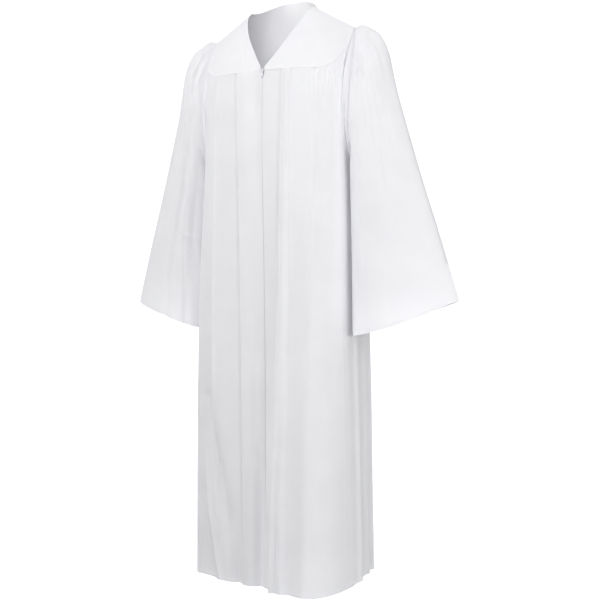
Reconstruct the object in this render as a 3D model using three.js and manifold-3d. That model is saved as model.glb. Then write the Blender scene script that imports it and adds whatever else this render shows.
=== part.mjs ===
// A full-length choir robe in its worn form, empty, in millimetres with +Z up.
// +X is the wearer's left, -Y the front. The origin is midway between the two sides of the neck,
// where the shoulders hold the robe up.
import * as THREE from "three";
import { mergeVertices } from "three/addons/utils/BufferGeometryUtils.js";
import Module from "manifold-3d";

const wasm = await Module();
wasm.setup();

// Driving dimensions
const CLOTH = 1.2; // wall of the cloth
const SEAM_GAP = 0.4; // air between two pieces that are sewn together
const SLEEVE_GAP = 1.4; // from the armhole's line to the middle of the sleeve's own edge
const FREE_LEVEL = -360; // just below the armholes, where front and back become one tube
const HEM_LEVEL = -1255;
const ZIP_SLOT = 4.6; // half width between the front edges beside the slider
const ZIP_GROOVE = 0.7; // half width between the front edges below it
const PLEAT_TOP = -150; // level of the yoke's seam over the pleats
const SLOT_TOP = -158; // where the slot starts to narrow
const SLOT_FOOT = -172; // and where it has narrowed to the groove
const LAYER = 2.2; // from one layer of a pressed pleat to the next
const SLEEVE_CLEAR = 13; // between the body's side and the sleeve beside it

const WHITE = 0xf2f2f5;
const ZIP_WHITE = 0xe6e6ea;
const PULL_WHITE = 0xcfcfd4;

// Places round one half of the robe are told by q, which grows from the centre front to the spine
const Q = { centre: 0, panel: 1, chest: 2, gather: 3, tip: 4, flank: 5, side: 6, hip: 7, rear: 8, blade: 9, spine: 10 };

function table(columns, rows) {
  return rows.map((row) => Object.fromEntries(columns.map((name, i) => [name, row[i]])));
}

// Plan of each half at five heights: x is outwards from the middle
const PLAN_COLUMNS = [
  "z", "centreY", "panelX", "panelY", "chestX", "chestY", "gatherX", "gatherY", "tipX", "tipY", "flankX", "flankY",
  "sideX", "sideY", "hipX", "hipY", "rearX", "rearY", "bladeX", "bladeY", "spineY",
];
const PLAN = {
  left: table(PLAN_COLUMNS, [
    [-360, -118, 75, -117, 111, -108, 140, -90, 160, -58, 163, -22, 163, 14, 162, 54, 150, 96, 88, 121, 124],
    [-600, -108, 75, -112, 110, -110, 141, -92, 163, -58, 167, -20, 167, 20, 165, 66, 151, 108, 88, 128, 130],
    [-850, -101, 73, -116, 109, -119, 144, -96, 167, -52, 171, -13, 171, 28, 167, 78, 153, 118, 86, 136, 138],
    [-1050, -102, 70, -123, 108, -130, 146, -100, 168, -43, 171, 2, 170, 42, 165, 88, 153, 127, 86, 145, 146],
    [-1255, -104, 66, -131, 107, -140, 147, -104, 168, -35, 170, 15, 168, 60, 163, 104, 152, 138, 86, 154, 154],
  ]),
  right: table(PLAN_COLUMNS, [
    [-360, -118, 80, -112, 122, -97, 148, -82, 170, -55, 171, -18, 170, 16, 167, 56, 153, 98, 90, 121, 124],
    [-600, -108, 80, -106, 128, -95, 158, -74, 187, -47, 189, -10, 187, 25, 180, 70, 158, 110, 88, 129, 130],
    [-850, -101, 80, -102, 128, -94, 162, -71, 193, -45, 194, -5, 190, 30, 183, 80, 160, 120, 86, 137, 138],
    [-1050, -102, 84, -97, 126, -86, 162, -65, 195, -44, 195, -2, 191, 36, 183, 88, 160, 128, 86, 145, 146],
    [-1255, -104, 88, -91, 123, -76, 160, -60, 195, -45, 195, 0, 190, 45, 181, 94, 160, 134, 86, 151, 154],
  ]),
};

// The lines that the pieces are sewn along, alike on both halves
const NECK_LINE = table(["q", "x", "y", "z"], [
  [0, 4.6, -116.5, -141], [1, 23, -100, -112], [2, 49, -78, -65], [3, 66, -50, -26], [3.5, 72, -32, -6], [4, 75, -10, 9],
]);
const NECK_BACK = table(["q", "x", "y", "z"], [
  [8, 75, -10, 9], [8.4, 72, 12, 15], [8.8, 62, 36, 26], [9.2, 48, 54, 38], [9.6, 27, 68, 48], [10, 0, 74, 51],
]);
const YOKE_FRONT_EDGE = table(["q", "x", "y", "z"], [
  [0, 4.6, -118, -150], [1, 75, -115, -150], [2, 112, -101, -149.5], [2.5, 130, -91, -147], [3, 144, -81, -138],
  [3.4, 156, -66, -121], [3.7, 164, -43, -96], [4, 168, 0, -45],
]);
const ARMHOLE = table(["q", "x", "y", "z"], [
  [4, 168, 0, -45], [4.3, 173, -27, -98], [4.6, 174, -46, -152], [5, 173, -58, -222], [5.5, 171, -46, -298],
  [6, 171.5, 14, -342], [6.5, 170.5, 62, -298], [7, 171, 78, -220], [7.4, 173, 60, -134], [7.7, 172, 30, -82],
  [8, 168, 0, -45],
]);
const YOKE_BACK_EDGE = table(["q", "x", "y", "z"], [
  [8, 168, 0, -45], [8.4, 165, 42, -84], [8.8, 152, 78, -120], [9.2, 124, 103, -141], [9.6, 66, 115, -147],
  [10, 0, 118, -148],
]);

// How far forward, or back behind the side, the cloth is thrown as it leaves its seam
const SPRING = table(["q", "throw"], [
  [0, 0], [1, 6], [2, 16], [3, 30], [3.5, 75], [4, 170], [4.3, 150], [4.6, 115], [5, 85], [5.5, 30], [6, 0], [6.5, 25],
  [7, 80], [7.4, 115], [7.7, 150], [8, 170], [8.4, 70], [9, 25], [10, 16],
]);

const THROW_IN = 0.25; // the share of it that goes towards the middle

// The long pressed pleat of each front: where its fold edge runs, how deep it is, how far it stands proud
const PLEAT = {
  left: table(["z", "edge", "under", "proud", "drop"], [
    [-150, 49, 11, 4.6, 4], [-340, 43, 11, 5, 6], [-600, 35.5, 12, 8, 12], [-830, 27, 13, 13, 20],
    [-1000, 22.5, 14, 17, 24], [-1255, 19, 15, 21, 28],
  ]),
  right: table(["z", "edge", "under"], [
    [-150, 59, 12], [-600, 55.6, 12], [-1000, 53.6, 12], [-1255, 57, 12],
  ]),
};

// Folds of a half's panels: q at the seam and at the hem, half width in q, and how far the ridge stands out
// at four depths below the seam
const FOLD_COLUMNS = ["top", "foot", "wide", "seam", "chest", "waist", "hem"];
const FOLDS = {
  left: table(FOLD_COLUMNS, [
    [2.02, 1.9, 0.16, 3.5, 3, 1.5, 0],
    [2.4, 2.5, 0.1, 2.4, 1, 0, 0],
    [2.7, 2.75, 0.1, 3.2, 1.6, 0.5, 0],
    [2.98, 3, 0.1, 3.4, 1.4, 0, 0],
    [3.24, 3.26, 0.09, 3.8, 2, 1, 0],
    [3.48, 3.52, 0.08, 3.8, 1.6, 0, 0],
    [3.7, 3.78, 0.07, 3.6, 2.2, 1.5, 2],
    [3.88, 3.9, 0.05, 2.6, 1, 0, 0],
    [5.5, 5.2, 0.3, 0, 0, 3, 7],
    [6.7, 6.6, 0.3, 0, 0, 3, 8],
    [7.7, 7.5, 0.3, 1, 4, 6, 11],
    [8.3, 8.3, 0.1, 3.4, 3, 2, 5],
    [8.6, 8.62, 0.1, 3.8, 2.2, 1, 2],
    [8.9, 8.92, 0.1, 3.4, 3, 4, 9],
    [9.2, 9.22, 0.1, 3.6, 2, 1, 2],
    [9.5, 9.5, 0.1, 3.4, 3.2, 5, 10],
    [9.8, 9.78, 0.09, 3.2, 2, 1, 2],
  ]),
  right: table(FOLD_COLUMNS, [
    [2.05, 2, 0.14, 2, 4, 5, 2],
    [2.4, 2.5, 0.1, 2.6, 1.2, 0, 0],
    [2.68, 2.72, 0.1, 3, 1.4, 0, 0],
    [2.95, 3, 0.1, 3.8, 2, 1, 2],
    [3.2, 3.24, 0.09, 3.4, 1.6, 0, 0],
    [3.46, 3.5, 0.08, 4, 2, 2, 6],
    [3.7, 3.74, 0.07, 3.2, 1.4, 0, 0],
    [3.88, 3.9, 0.05, 2.8, 1.2, 1, 0],
    [5.4, 5.3, 0.3, 0, 0, 3, 6],
    [6.6, 6.7, 0.3, 0, 0, 4, 8],
    [7.6, 7.6, 0.3, 1, 4, 5, 10],
    [8.3, 8.3, 0.1, 3.2, 2, 1, 3],
    [8.6, 8.58, 0.1, 3.6, 3.2, 4, 9],
    [8.9, 8.9, 0.1, 3.6, 2, 1, 2],
    [9.2, 9.18, 0.1, 3.4, 3, 5, 9],
    [9.5, 9.52, 0.1, 3.6, 2, 1, 2],
    [9.8, 9.8, 0.09, 3.2, 3, 4, 8],
  ]),
};
const FOLD_DEPTHS = [0.1, 0.5, 1, 2]; // where the four heights of a fold hold: 0 is the seam, 2 the hem

// Sections of a sleeve from the armhole to the cuff: its outer fold, its inner edge beside the body,
// and how deep it is in front of and behind the chord between them
const SLEEVE = table(["along", "outerX", "outerY", "outerZ", "innerY", "innerZ", "front", "back", "nose"], [
  [0, 168, 0, -45, 14, -342, 60, 66, 0.5],
  [0.06, 184, 0, -41, 13, -348, 66, 68, 0.5],
  [0.13, 204, 1, -50, 12, -356, 70, 68, 0.5],
  [0.21, 226, 2, -68, 11, -368, 72, 67, 0.5],
  [0.29, 242, 4, -101, 10, -384, 73, 66, 0.5],
  [0.37, 253, 7, -155, 9, -408, 73, 64, 0.5],
  [0.46, 266, 11, -209, 8, -440, 73, 62, 0.52],
  [0.62, 308, 18, -360, 8, -530, 76, 58, 0.55],
  [0.8, 350, 25, -500, 7, -625, 81, 54, 0.58],
  [1, 390, 32, -640, 6, -716, 86, 50, 0.6],
]);
const SLEEVE_INNER_ROUND = 0.4; // roundness of the sleeve's inner edge
const HEAD_BLEND = 0.24; // how far along the armhole's own shape is felt
const HEAD_TURN = 0.12; // how far along the sleeve goes before it is clear of the body
const CUFF_RISE = { left: 0, right: 14 }; // the wearer's right cuff hangs a little shorter at its inner edge
const FRONT_FULL = { left: 1, right: 0.82 }; // and its front layer is a little flatter

// Folds of a sleeve: place round it (0 is the outer fold, 1 the inner edge, minus behind), half width,
// and heights at the head, upper arm, elbow and cuff
const SLEEVE_FOLD_COLUMNS = ["place", "wide", "head", "arm", "elbow", "hem"];
const SLEEVE_FOLDS = {
  left: table(SLEEVE_FOLD_COLUMNS, [
    [0.05, 0.03, 5, 3, 0, 0],
    [0.13, 0.033, 7, 5, 1, 0],
    [0.22, 0.035, 7, 5, 2, 0],
    [0.32, 0.04, 6, 4, 2, 2],
    [0.46, 0.055, 4, 4, 3, 4],
    [0.8, 0.07, 0, 2, 4, 5],
    [-0.07, 0.033, 5, 3, 0, 0],
    [-0.15, 0.035, 6, 5, 2, 1],
    [-0.25, 0.045, 5, 5, 4, 5],
    [-0.5, 0.08, 1, 3, 5, 6],
  ]),
  right: table(SLEEVE_FOLD_COLUMNS, [
    [0.05, 0.03, 5, 2, 0, 0],
    [0.13, 0.033, 6, 4, 0, 0],
    [0.22, 0.035, 7, 5, 1, 0],
    [0.32, 0.04, 6, 6, 2, 1],
    [0.46, 0.06, 5, 9, 10, 8],
    [0.8, 0.06, 0, 2, 4, 3],
    [-0.07, 0.033, 5, 3, 0, 0],
    [-0.15, 0.035, 6, 5, 2, 2],
    [-0.25, 0.045, 5, 5, 5, 5],
    [-0.5, 0.08, 1, 3, 5, 6],
  ]),
};
const SLEEVE_SPREAD = 0.75; // how the places round a sleeve spread away from its outer fold by the cuff
const SLEEVE_FOLD_PLACES = [0.12, 0.3, 0.6, 1];

// Zip
const TAPE_WIDE = 13;
const TAPE_THICK = 0.8;
const TAPE_BEHIND = 1.6; // from the middle of the front's wall to the middle of the tape
const CHAIN_HALF = 2.2;
const CHAIN_THICK = 1.2;
const CHAIN_TO_TAPE = 0.3;
const ZIP_TOP_V = 0.03; // the zip's two ends, as depths below the yoke seam
const ZIP_FOOT_V = 1.69;
const SLIDER = { wide: 7, foot: 5.4, tall: 9, deep: 6, y: -117.6, z: -151 };
const BAIL = { thick: 1.4, reach: 3.2, tall: 6.8, bar: 1.1, root: 0.5, z: -150.6, bend: 0.7, shoulder: 0.9, crown: 0.5 };
const TAB = { wide: 5.6, long: 13, thick: 1.1, window: 4.9, bar: 1.1, rail: 1.6 };

const lerp = (a, b, t) => a + (b - a) * t;
const clamp01 = (t) => Math.min(1, Math.max(0, t));
const ease = (t) => clamp01(t) ** 2 * (3 - 2 * clamp01(t));

// A smooth curve through a column of a table, read at one place of another column
function read(rows, by, column, at) {
  const last = rows.length - 1;
  const way = Math.sign(rows[last][by] - rows[0][by]);
  let i = 0;
  while (i < last - 1 && way * (at - rows[i + 1][by]) > 0) i++;
  const slope = (k) => {
    const before = rows[Math.max(k - 1, 0)];
    const after = rows[Math.min(k + 1, last)];
    return (after[column] - before[column]) / (after[by] - before[by]);
  };
  const a = rows[i];
  const b = rows[i + 1];
  const span = b[by] - a[by];
  const t = clamp01((at - a[by]) / span);
  const back = 1 - t;
  return (
    a[column] * (1 + 2 * t) * back * back +
    slope(i) * span * t * back * back +
    b[column] * t * t * (3 - 2 * t) -
    slope(i + 1) * span * t * t * back
  );
}

const readPoint = (rows, by, at) =>
  new THREE.Vector3(read(rows, by, "x", at), read(rows, by, "y", at), read(rows, by, "z", at));

// The plan of a half at one height, as a line of points by q
function planLine(side, z) {
  const value = (column) => read(PLAN[side], "z", column, z);
  return Object.entries(Q).map(([name, q]) => ({
    q,
    x: name === "centre" || name === "spine" ? 0 : value(name + "X"),
    y: value(name + "Y"),
  }));
}

function planPoint(side, q, z) {
  const line = planLine(side, z);
  return new THREE.Vector3(read(line, "q", "x", q), read(line, "q", "y", q), z);
}

function seamPoint(q) {
  if (q <= Q.tip) return readPoint(YOKE_FRONT_EDGE, "q", q);
  if (q <= Q.rear) return readPoint(ARMHOLE, "q", q);
  return readPoint(YOKE_BACK_EDGE, "q", q);
}

// The body's middle surface without folds. v is 0 at the seam, 1 at FREE_LEVEL and 2 at the hem
function bodyBase(side, q, v) {
  if (v >= 1) return planPoint(side, q, lerp(FREE_LEVEL, HEM_LEVEL, v - 1));
  const start = seamPoint(q);
  const end = planPoint(side, q, FREE_LEVEL);
  const below = planPoint(side, q, FREE_LEVEL - 40);
  const way = end.clone().sub(start);
  const endWay = below.sub(end).multiplyScalar((FREE_LEVEL - start.z) / -40);
  const startWay = way.clone();
  const thrown = read(SPRING, "q", "throw", q);
  startWay.y += q < Q.side ? -thrown : thrown;
  startWay.x -= THROW_IN * thrown;
  const back = 1 - v;
  return start
    .multiplyScalar((1 + 2 * v) * back * back)
    .addScaledVector(startWay, v * back * back)
    .addScaledVector(end, v * v * (3 - 2 * v))
    .addScaledVector(endWay, -v * v * back);
}

// A fold's height at one depth, from its four heights, rising from nothing at the seam
function foldHeight(heights, places, at) {
  if (at <= places[0]) return heights[0] * ease(at / places[0]);
  const rows = places.map((place, i) => ({ place, height: heights[i] }));
  return Math.max(0, read(rows, "place", "height", at));
}

function bodyRelief(side, q, v) {
  return FOLDS[side].reduce((sum, f) => {
    const from = (q - lerp(f.top, f.foot, v / 2)) / f.wide;
    const height = foldHeight([f.seam, f.chest, f.waist, f.hem], FOLD_DEPTHS, v);
    return sum + height * Math.exp(-from * from);
  }, 0);
}

function outwards(surface, a, b, sign) {
  const step = 0.01;
  const along = surface(a + step, b).sub(surface(a - step, b));
  const down = surface(a, Math.min(b + step, 2)).sub(surface(a, Math.max(b - step, 0)));
  return down.cross(along).normalize().multiplyScalar(sign);
}

const handOf = (side) => (side === "left" ? 1 : -1);
const toSide = (side, p) => new THREE.Vector3(p.x * handOf(side), p.y, p.z);

function bodyPoint(side, q, v) {
  const surface = (a, b) => bodyBase(side, Math.min(Math.max(a, Q.centre), Q.spine), b);
  const p = surface(q, v);
  const relief = bodyRelief(side, q, v);
  return relief ? p.addScaledVector(outwards(surface, q, v, 1), relief) : p;
}

// A place of the pressed part of a front, told by its distance from the centre and its layer's height
function pressedPoint(side, x, proud, v) {
  const z = pressedLevel(v);
  const panelX = v < 1 ? lerp(YOKE_FRONT_EDGE[1].x, PLAN[side][0].panelX, v) : read(PLAN[side], "z", "panelX", z);
  const p = bodyBase(side, x / panelX, v);
  return new THREE.Vector3(x, p.y - proud, z);
}

const pressedLevel = (v) => (v < 1 ? lerp(PLEAT_TOP, FREE_LEVEL, v) : lerp(FREE_LEVEL, HEM_LEVEL, v - 1));
const frontEdge = (v) => lerp(ZIP_SLOT, ZIP_GROOVE, ease((pressedLevel(v) - SLOT_TOP) / (SLOT_FOOT - SLOT_TOP)));

// The columns of a front from its zip edge to past its pleat: each gives a point at a depth v
function pressedColumns(side) {
  const pleat = (name, v) => read(PLEAT[side], "z", name, pressedLevel(v));
  const column = (placeOf) => (v) => {
    const [x, proud] = placeOf(v);
    return pressedPoint(side, x, proud, v);
  };
  if (side === "right") {
    const lift = (x, v) => 2 * LAYER * ease(x / (pleat("edge", v) - 14));
    const strip = (share) => column((v) => {
      const x = lerp(frontEdge(v), pleat("edge", v) - 2, share);
      return [x, lift(x, v)];
    });
    const fold = (name, offset, layer) => column((v) => {
      const x = pleat("edge", v) - (name === "root" ? pleat("under", v) : 0) + offset;
      return [x, layer * LAYER];
    });
    return [
      strip(0), strip(0.3), strip(0.62), strip(0.84), strip(1),
      fold("edge", 0.5, 1.5), fold("edge", -2, 1),
      fold("root", 2, 1), fold("root", -0.5, 0.5), fold("root", 2, 0),
      fold("edge", -1, 0), fold("edge", 6, 0),
    ];
  }
  const root = (v) => pleat("edge", v) + pleat("under", v);
  const strip = (share) => column((v) => [lerp(frontEdge(v), root(v) - 2, share), 0]);
  const flute = (offset, share) => column((v) => {
    const x = root(v) + offset + share * pleat("drop", v);
    return [x, pleat("proud", v) * (1 - ease(share))];
  });
  return [
    strip(0), strip(0.35), strip(0.7), strip(1),
    column((v) => [root(v) + 0.5, LAYER / 2]),
    column((v) => [root(v) - 2, LAYER]),
    column((v) => [pleat("edge", v) + 2, pleat("proud", v) - LAYER]),
    column((v) => [pleat("edge", v) - 0.5, pleat("proud", v) - LAYER / 2]),
    column((v) => [pleat("edge", v) + 2, pleat("proud", v)]),
    flute(-3, 0), flute(1, 0), flute(1, 0.5), flute(1, 1),
  ];
}

// Columns by q: those of the upper rows, and which of them go on below
const FRONT_Q = [1, 1.4, 1.7, 1.86, 2, 2.16, 2.28, 2.4, 2.55, 2.7, 2.84, 2.98, 3.11, 3.24, 3.36, 3.48, 3.59, 3.7, 3.79,
  3.88];
const ARMHOLE_FRONT_Q = [4, 4.1, 4.18, 4.26, 4.35, 4.44, 4.54, 4.64, 4.78, 4.92, 5.2, 5.46, 5.7, 5.88];
const ARMHOLE_BACK_Q = [6, 6.14, 6.4, 6.7, 7, 7.25, 7.5, 7.6, 7.7, 7.78, 7.86, 7.93];
const BACK_Q = [8, 8.15, 8.3, 8.45, 8.6, 8.75, 8.9, 9.05, 9.2, 9.35, 9.5, 9.65, 9.8, 9.92, 10];
const LASTING_Q = [1.4, 1.7, 2, 2.28, 2.7, 3.11, 3.48, 3.7, 4, 4.44, 4.92, 5.46, 6, 6.4, 7, 7.5, 7.7, 8, 8.3, 8.6, 8.75,
  8.9, 9.05, 9.2, 9.35, 9.5, 9.65, 9.8, 10];
const UPPER_V = [0, 0.05, 0.1, 0.18, 0.32, 0.5, 0.72, 1];
const LOWER_V = [1.13, 1.27, 1.42, 1.57, 1.72, 1.87, 2];

function bodyRows(columns) {
  return [...UPPER_V, ...LOWER_V].map((v) => {
    const upper = v <= 1;
    return columns.filter((c) => upper || c.lasts).map((c) => ({ key: c.key, point: c.at(v) }));
  });
}

const qColumns = (side, list) =>
  list.map((q) => ({
    key: handOf(side) * q,
    lasts: LASTING_Q.includes(q),
    at: (v) => toSide(side, bodyPoint(side, q, v)),
  }));

function frontRows(side) {
  const pressed = pressedColumns(side).map((at, i) => ({
    key: handOf(side) * (i + 1) * 0.01,
    lasts: true,
    at: (v) => toSide(side, at(v)),
  }));
  const columns = [...pressed, ...qColumns(side, [...FRONT_Q.slice(1), ...ARMHOLE_FRONT_Q, Q.side])];
  return bodyRows(side === "left" ? columns : columns.reverse());
}

function backRows() {
  const half = (side) => qColumns(side, [...ARMHOLE_BACK_Q, ...BACK_Q]);
  const left = half("left");
  const right = half("right").reverse().slice(1);
  return bodyRows([...left, ...right.map((c) => ({ ...c, key: c.key + 2 * Q.spine }))]);
}

// The yoke between the neck line and its lower edge
const YOKE_SHARES = [0, 0.14, 0.36, 0.6, 0.82, 1];
const YOKE_PUFF = { front: 2, back: 9 };

function yokePoint(neck, q, share, puff) {
  const top = readPoint(neck, "q", q);
  const foot = seamPoint(q);
  const p = top.clone().lerp(foot, share);
  const out = new THREE.Vector3(0, foot.y + top.y, 0).normalize();
  out.z = 0.5;
  return p.addScaledVector(out.normalize(), puff * 4 * share * (1 - share));
}

function yokeFrontRows(side) {
  const list = [0, 0.3, 0.65, ...FRONT_Q, Q.tip];
  const ordered = side === "left" ? list : [...list].reverse();
  return YOKE_SHARES.map((share) =>
    ordered.map((q) => ({
      key: handOf(side) * q,
      point: toSide(side, yokePoint(NECK_LINE, q, share, YOKE_PUFF.front * Math.sin((Math.PI * q) / Q.tip))),
    })),
  );
}

function yokeBackRows() {
  const puff = (q) => YOKE_PUFF.back * ease((q - Q.rear) / 1.2);
  const half = (side) =>
    BACK_Q.map((q) => (share) => ({
      key: handOf(side) * q,
      point: toSide(side, yokePoint(NECK_BACK, q, share, puff(q))),
    }));
  const right = half("right").reverse().slice(1);
  return YOKE_SHARES.map((share) => [
    ...half("left").map((at) => at(share)),
    ...right.map((at) => at(share)).map((place) => ({ ...place, key: place.key + 2 * Q.spine })),
  ]);
}

// The sleeves: around is 0 to 1 in front and 2 to 1 behind, from the outer fold to the inner edge
const SLEEVE_ALONG = [0, 0.03, 0.06, 0.1, 0.15, 0.21, 0.28, 0.36, 0.45, 0.54, 0.64, 0.74, 0.84, 0.92, 1];

function bodySideX(side, z) {
  const line = planLine(side, Math.min(z, FREE_LEVEL));
  return Math.max(...line.map((p) => p.x));
}

function sleeveSection(side, q, along) {
  const value = (column) => read(SLEEVE, "along", column, along);
  const share = (q <= Q.side ? (q - Q.tip) / 2 : (Q.rear - q) / 2) ** lerp(1, SLEEVE_SPREAD, along);
  const innerZ = value("innerZ") + CUFF_RISE[side] * along;
  const outer = new THREE.Vector3(value("outerX"), value("outerY"), value("outerZ"));
  const underarm = readPoint(ARMHOLE, "q", Q.side);
  const innerX = lerp(underarm.x, bodySideX(side, innerZ) + SLEEVE_CLEAR, clamp01(along / HEAD_TURN));
  const inner = new THREE.Vector3(innerX, value("innerY"), innerZ);
  const nose = value("nose");
  const peak = nose / (nose + SLEEVE_INNER_ROUND);
  const full = peak ** nose * (1 - peak) ** SLEEVE_INNER_ROUND;
  const depth = (share ** nose * (1 - share) ** SLEEVE_INNER_ROUND) / full;
  const p = outer.lerp(inner, share);
  p.y += depth * (q <= Q.side ? -value("front") * lerp(1, FRONT_FULL[side], ease(along)) : value("back"));
  return p;
}

function sleeveBase(side, q, along) {
  const p = sleeveSection(side, q, along);
  if (along >= HEAD_BLEND) return p;
  const missing = readPoint(ARMHOLE, "q", q).sub(sleeveSection(side, q, 0));
  return p.addScaledVector(missing, 1 - ease(along / HEAD_BLEND));
}

function sleeveRelief(side, q, along) {
  const around = q <= Q.side ? (q - Q.tip) / 2 : -(Q.rear - q) / 2;
  return SLEEVE_FOLDS[side].reduce((sum, f) => {
    const from = (around - f.place) / f.wide;
    const height = foldHeight([f.head, f.arm, f.elbow, f.hem], SLEEVE_FOLD_PLACES, along);
    return sum + height * Math.exp(-from * from);
  }, 0);
}

function sleevePoint(side, q, along) {
  const clampQ = (a) => Math.min(Math.max(a, Q.tip), Q.rear);
  const surface = (a, b) => sleeveBase(side, clampQ(a), Math.min(b, 1));
  const p = surface(q, along);
  const relief = sleeveRelief(side, q, along);
  if (!relief || q === Q.tip) return toSide(side, p);
  const step = 0.01;
  const round = surface(q + step, along).sub(surface(q - step, along));
  const down = surface(q, along + step).sub(surface(q, along - step < 0 ? 0 : along - step));
  return toSide(side, p.addScaledVector(down.cross(round).normalize(), relief));
}

const SLEEVE_Q = [...ARMHOLE_FRONT_Q, ...ARMHOLE_BACK_Q];

function sleeveRows(side) {
  const list = side === "left" ? [...SLEEVE_Q, Q.rear] : [...SLEEVE_Q, Q.rear].reverse();
  return SLEEVE_ALONG.map((along) =>
    list.map((q) => ({ key: handOf(side) * q, point: sleevePoint(side, q, along) })),
  );
}

// Each sheet of cloth is a middle surface. Sheets of the body that meet along a seam share their normals
// there, so that their edges stay parallel and apart. A sleeve meets the body at an angle instead
const sheets = [];
const seamNormals = new Map();
const placeKey = (family, p) => [family, ...[p.x, p.y, p.z].map((c) => Math.round(c * 20))].join(" ");

function stitch(upper, lower, triangles) {
  let i = 0;
  let j = 0;
  while (i + 1 < upper.length || j + 1 < lower.length) {
    const nextUpper = i + 1 < upper.length ? upper[i + 1].key : Infinity;
    const nextLower = j + 1 < lower.length ? lower[j + 1].key : Infinity;
    if (nextUpper <= nextLower) triangles.push([upper[i].index, lower[j].index, upper[++i].index]);
    else triangles.push([upper[i].index, lower[j].index, lower[++j].index]);
  }
}

function addSheet(name, rows, { family = "body", topGap = SEAM_GAP / 2, closed = false } = {}) {
  const points = [];
  for (const row of rows) {
    row.forEach((place, i) => {
      place.index = closed && i === row.length - 1 ? row[0].index : points.push(place.point) - 1;
    });
  }
  const triangles = [];
  for (let r = 0; r + 1 < rows.length; r++) stitch(rows[r], rows[r + 1], triangles);
  const normals = points.map(() => new THREE.Vector3());
  for (const [a, b, c] of triangles) {
    const face = points[b].clone().sub(points[a]).cross(points[c].clone().sub(points[a])).normalize();
    for (const i of [a, b, c]) normals[i].add(face);
  }
  points.forEach((p, i) => {
    const key = placeKey(family, p);
    const sum = seamNormals.get(key) ?? new THREE.Vector3();
    seamNormals.set(key, sum.add(normals[i].clone().normalize()));
  });
  sheets.push({ name, rows, points, triangles, family, topGap, closed });
}

// Draws a sheet's cut edges in by half the seam's gap, square to the edge
function drawnIn({ rows, points, topGap, closed }) {
  const drawn = points.map((p) => p.clone());
  const draw = (line, i, towards, gap = SEAM_GAP / 2) => {
    const before = points[line[Math.max(i - 1, 0)]];
    const after = points[line[Math.min(i + 1, line.length - 1)]];
    const tangent = after.clone().sub(before).normalize();
    const way = points[towards].clone().sub(points[line[i]]);
    way.addScaledVector(tangent, -way.dot(tangent));
    drawn[line[i]].addScaledVector(way.normalize(), gap);
  };
  const nearest = (row, key) => row.reduce((best, p) => (Math.abs(p.key - key) < Math.abs(best.key - key) ? p : best));
  const last = rows.length - 1;
  const indices = (row) => row.map((p) => p.index);
  for (const [edge, beside, gap] of [[rows[0], rows[1], topGap], [rows[last], rows[last - 1], SEAM_GAP / 2]]) {
    const ends = closed ? edge.slice(0, -1) : edge;
    ends.forEach((p, i) => draw(indices(edge), i, nearest(beside, p.key).index, gap));
  }
  if (!closed) {
    const first = rows.map((row) => row[0].index);
    const final = rows.map((row) => row[row.length - 1].index);
    rows.forEach((row, i) => {
      draw(first, i, row[1].index);
      draw(final, i, row[row.length - 2].index);
    });
  }
  return drawn;
}

function solidFrom(positions, triangles) {
  const geometry = new THREE.BufferGeometry();
  geometry.setAttribute("position", new THREE.Float32BufferAttribute(positions.flatMap((p) => [p.x, p.y, p.z]), 3));
  geometry.setIndex(triangles.flat());
  geometry.computeVertexNormals();
  return geometry;
}

// A wall of cloth about a middle surface: outer side, inner side and the rim that closes them
function wallOf(sheet, thick = CLOTH) {
  const { points, triangles } = sheet;
  const middle = drawnIn(sheet);
  const normal = points.map((p) => seamNormals.get(placeKey(sheet.family, p)).clone().normalize());
  const outer = middle.map((p, i) => p.clone().addScaledVector(normal[i], thick / 2));
  const inner = middle.map((p, i) => p.clone().addScaledVector(normal[i], -thick / 2));
  const count = points.length;
  const edges = new Set(triangles.flatMap(([a, b, c]) => [`${a} ${b}`, `${b} ${c}`, `${c} ${a}`]));
  const rim = [...edges].map((edge) => edge.split(" ").map(Number)).filter(([a, b]) => !edges.has(`${b} ${a}`));
  const faces = [
    ...triangles,
    ...triangles.map(([a, b, c]) => [a + count, c + count, b + count]),
    ...rim.flatMap(([a, b]) => [[b, a, a + count], [b, a + count, b + count]]),
  ];
  return solidFrom([...outer, ...inner], faces);
}

function mesh(name, geometry, colour, roughness = 0.9, metalness = 0) {
  const made = new THREE.Mesh(geometry, new THREE.MeshStandardMaterial({ color: colour, roughness, metalness }));
  made.name = name;
  return made;
}

// The zip's strips follow the centre front, behind the two front edges
function zipStrip(fromX, toX, thick) {
  const between = [...UPPER_V, ...LOWER_V].filter((v) => v > ZIP_TOP_V && v < ZIP_FOOT_V);
  const levels = [ZIP_TOP_V, ...between, ZIP_FOOT_V];
  const positions = levels.flatMap((v) => {
    const { y } = bodyBase("left", Q.centre, v);
    return [-thick / 2, thick / 2].flatMap((half) =>
      [fromX, toX].map((x) => new THREE.Vector3(x, y + TAPE_BEHIND + half, pressedLevel(v))),
    );
  });
  const ring = [0, 1, 3, 2];
  const faces = levels.slice(1).flatMap((_, r) =>
    ring.flatMap((corner, k) => {
      const next = ring[(k + 1) % ring.length];
      const [a, b, c, d] = [corner + 4 * r, next + 4 * r, corner + 4 * (r + 1), next + 4 * (r + 1)];
      return [[a, c, b], [b, c, d]];
    }),
  );
  const end = 4 * (levels.length - 1);
  faces.push([0, 1, 3], [0, 3, 2], [end, end + 3, end + 1], [end, end + 2, end + 3]);
  return solidFrom(positions, faces);
}

function solidOf(geometry) {
  geometry.deleteAttribute("normal");
  geometry.deleteAttribute("uv");
  const merged = mergeVertices(geometry, 1e-4);
  const triVerts = new Uint32Array(merged.index.array);
  return new wasm.Manifold(new wasm.Mesh({ numProp: 3, vertProperties: merged.attributes.position.array, triVerts }));
}

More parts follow.
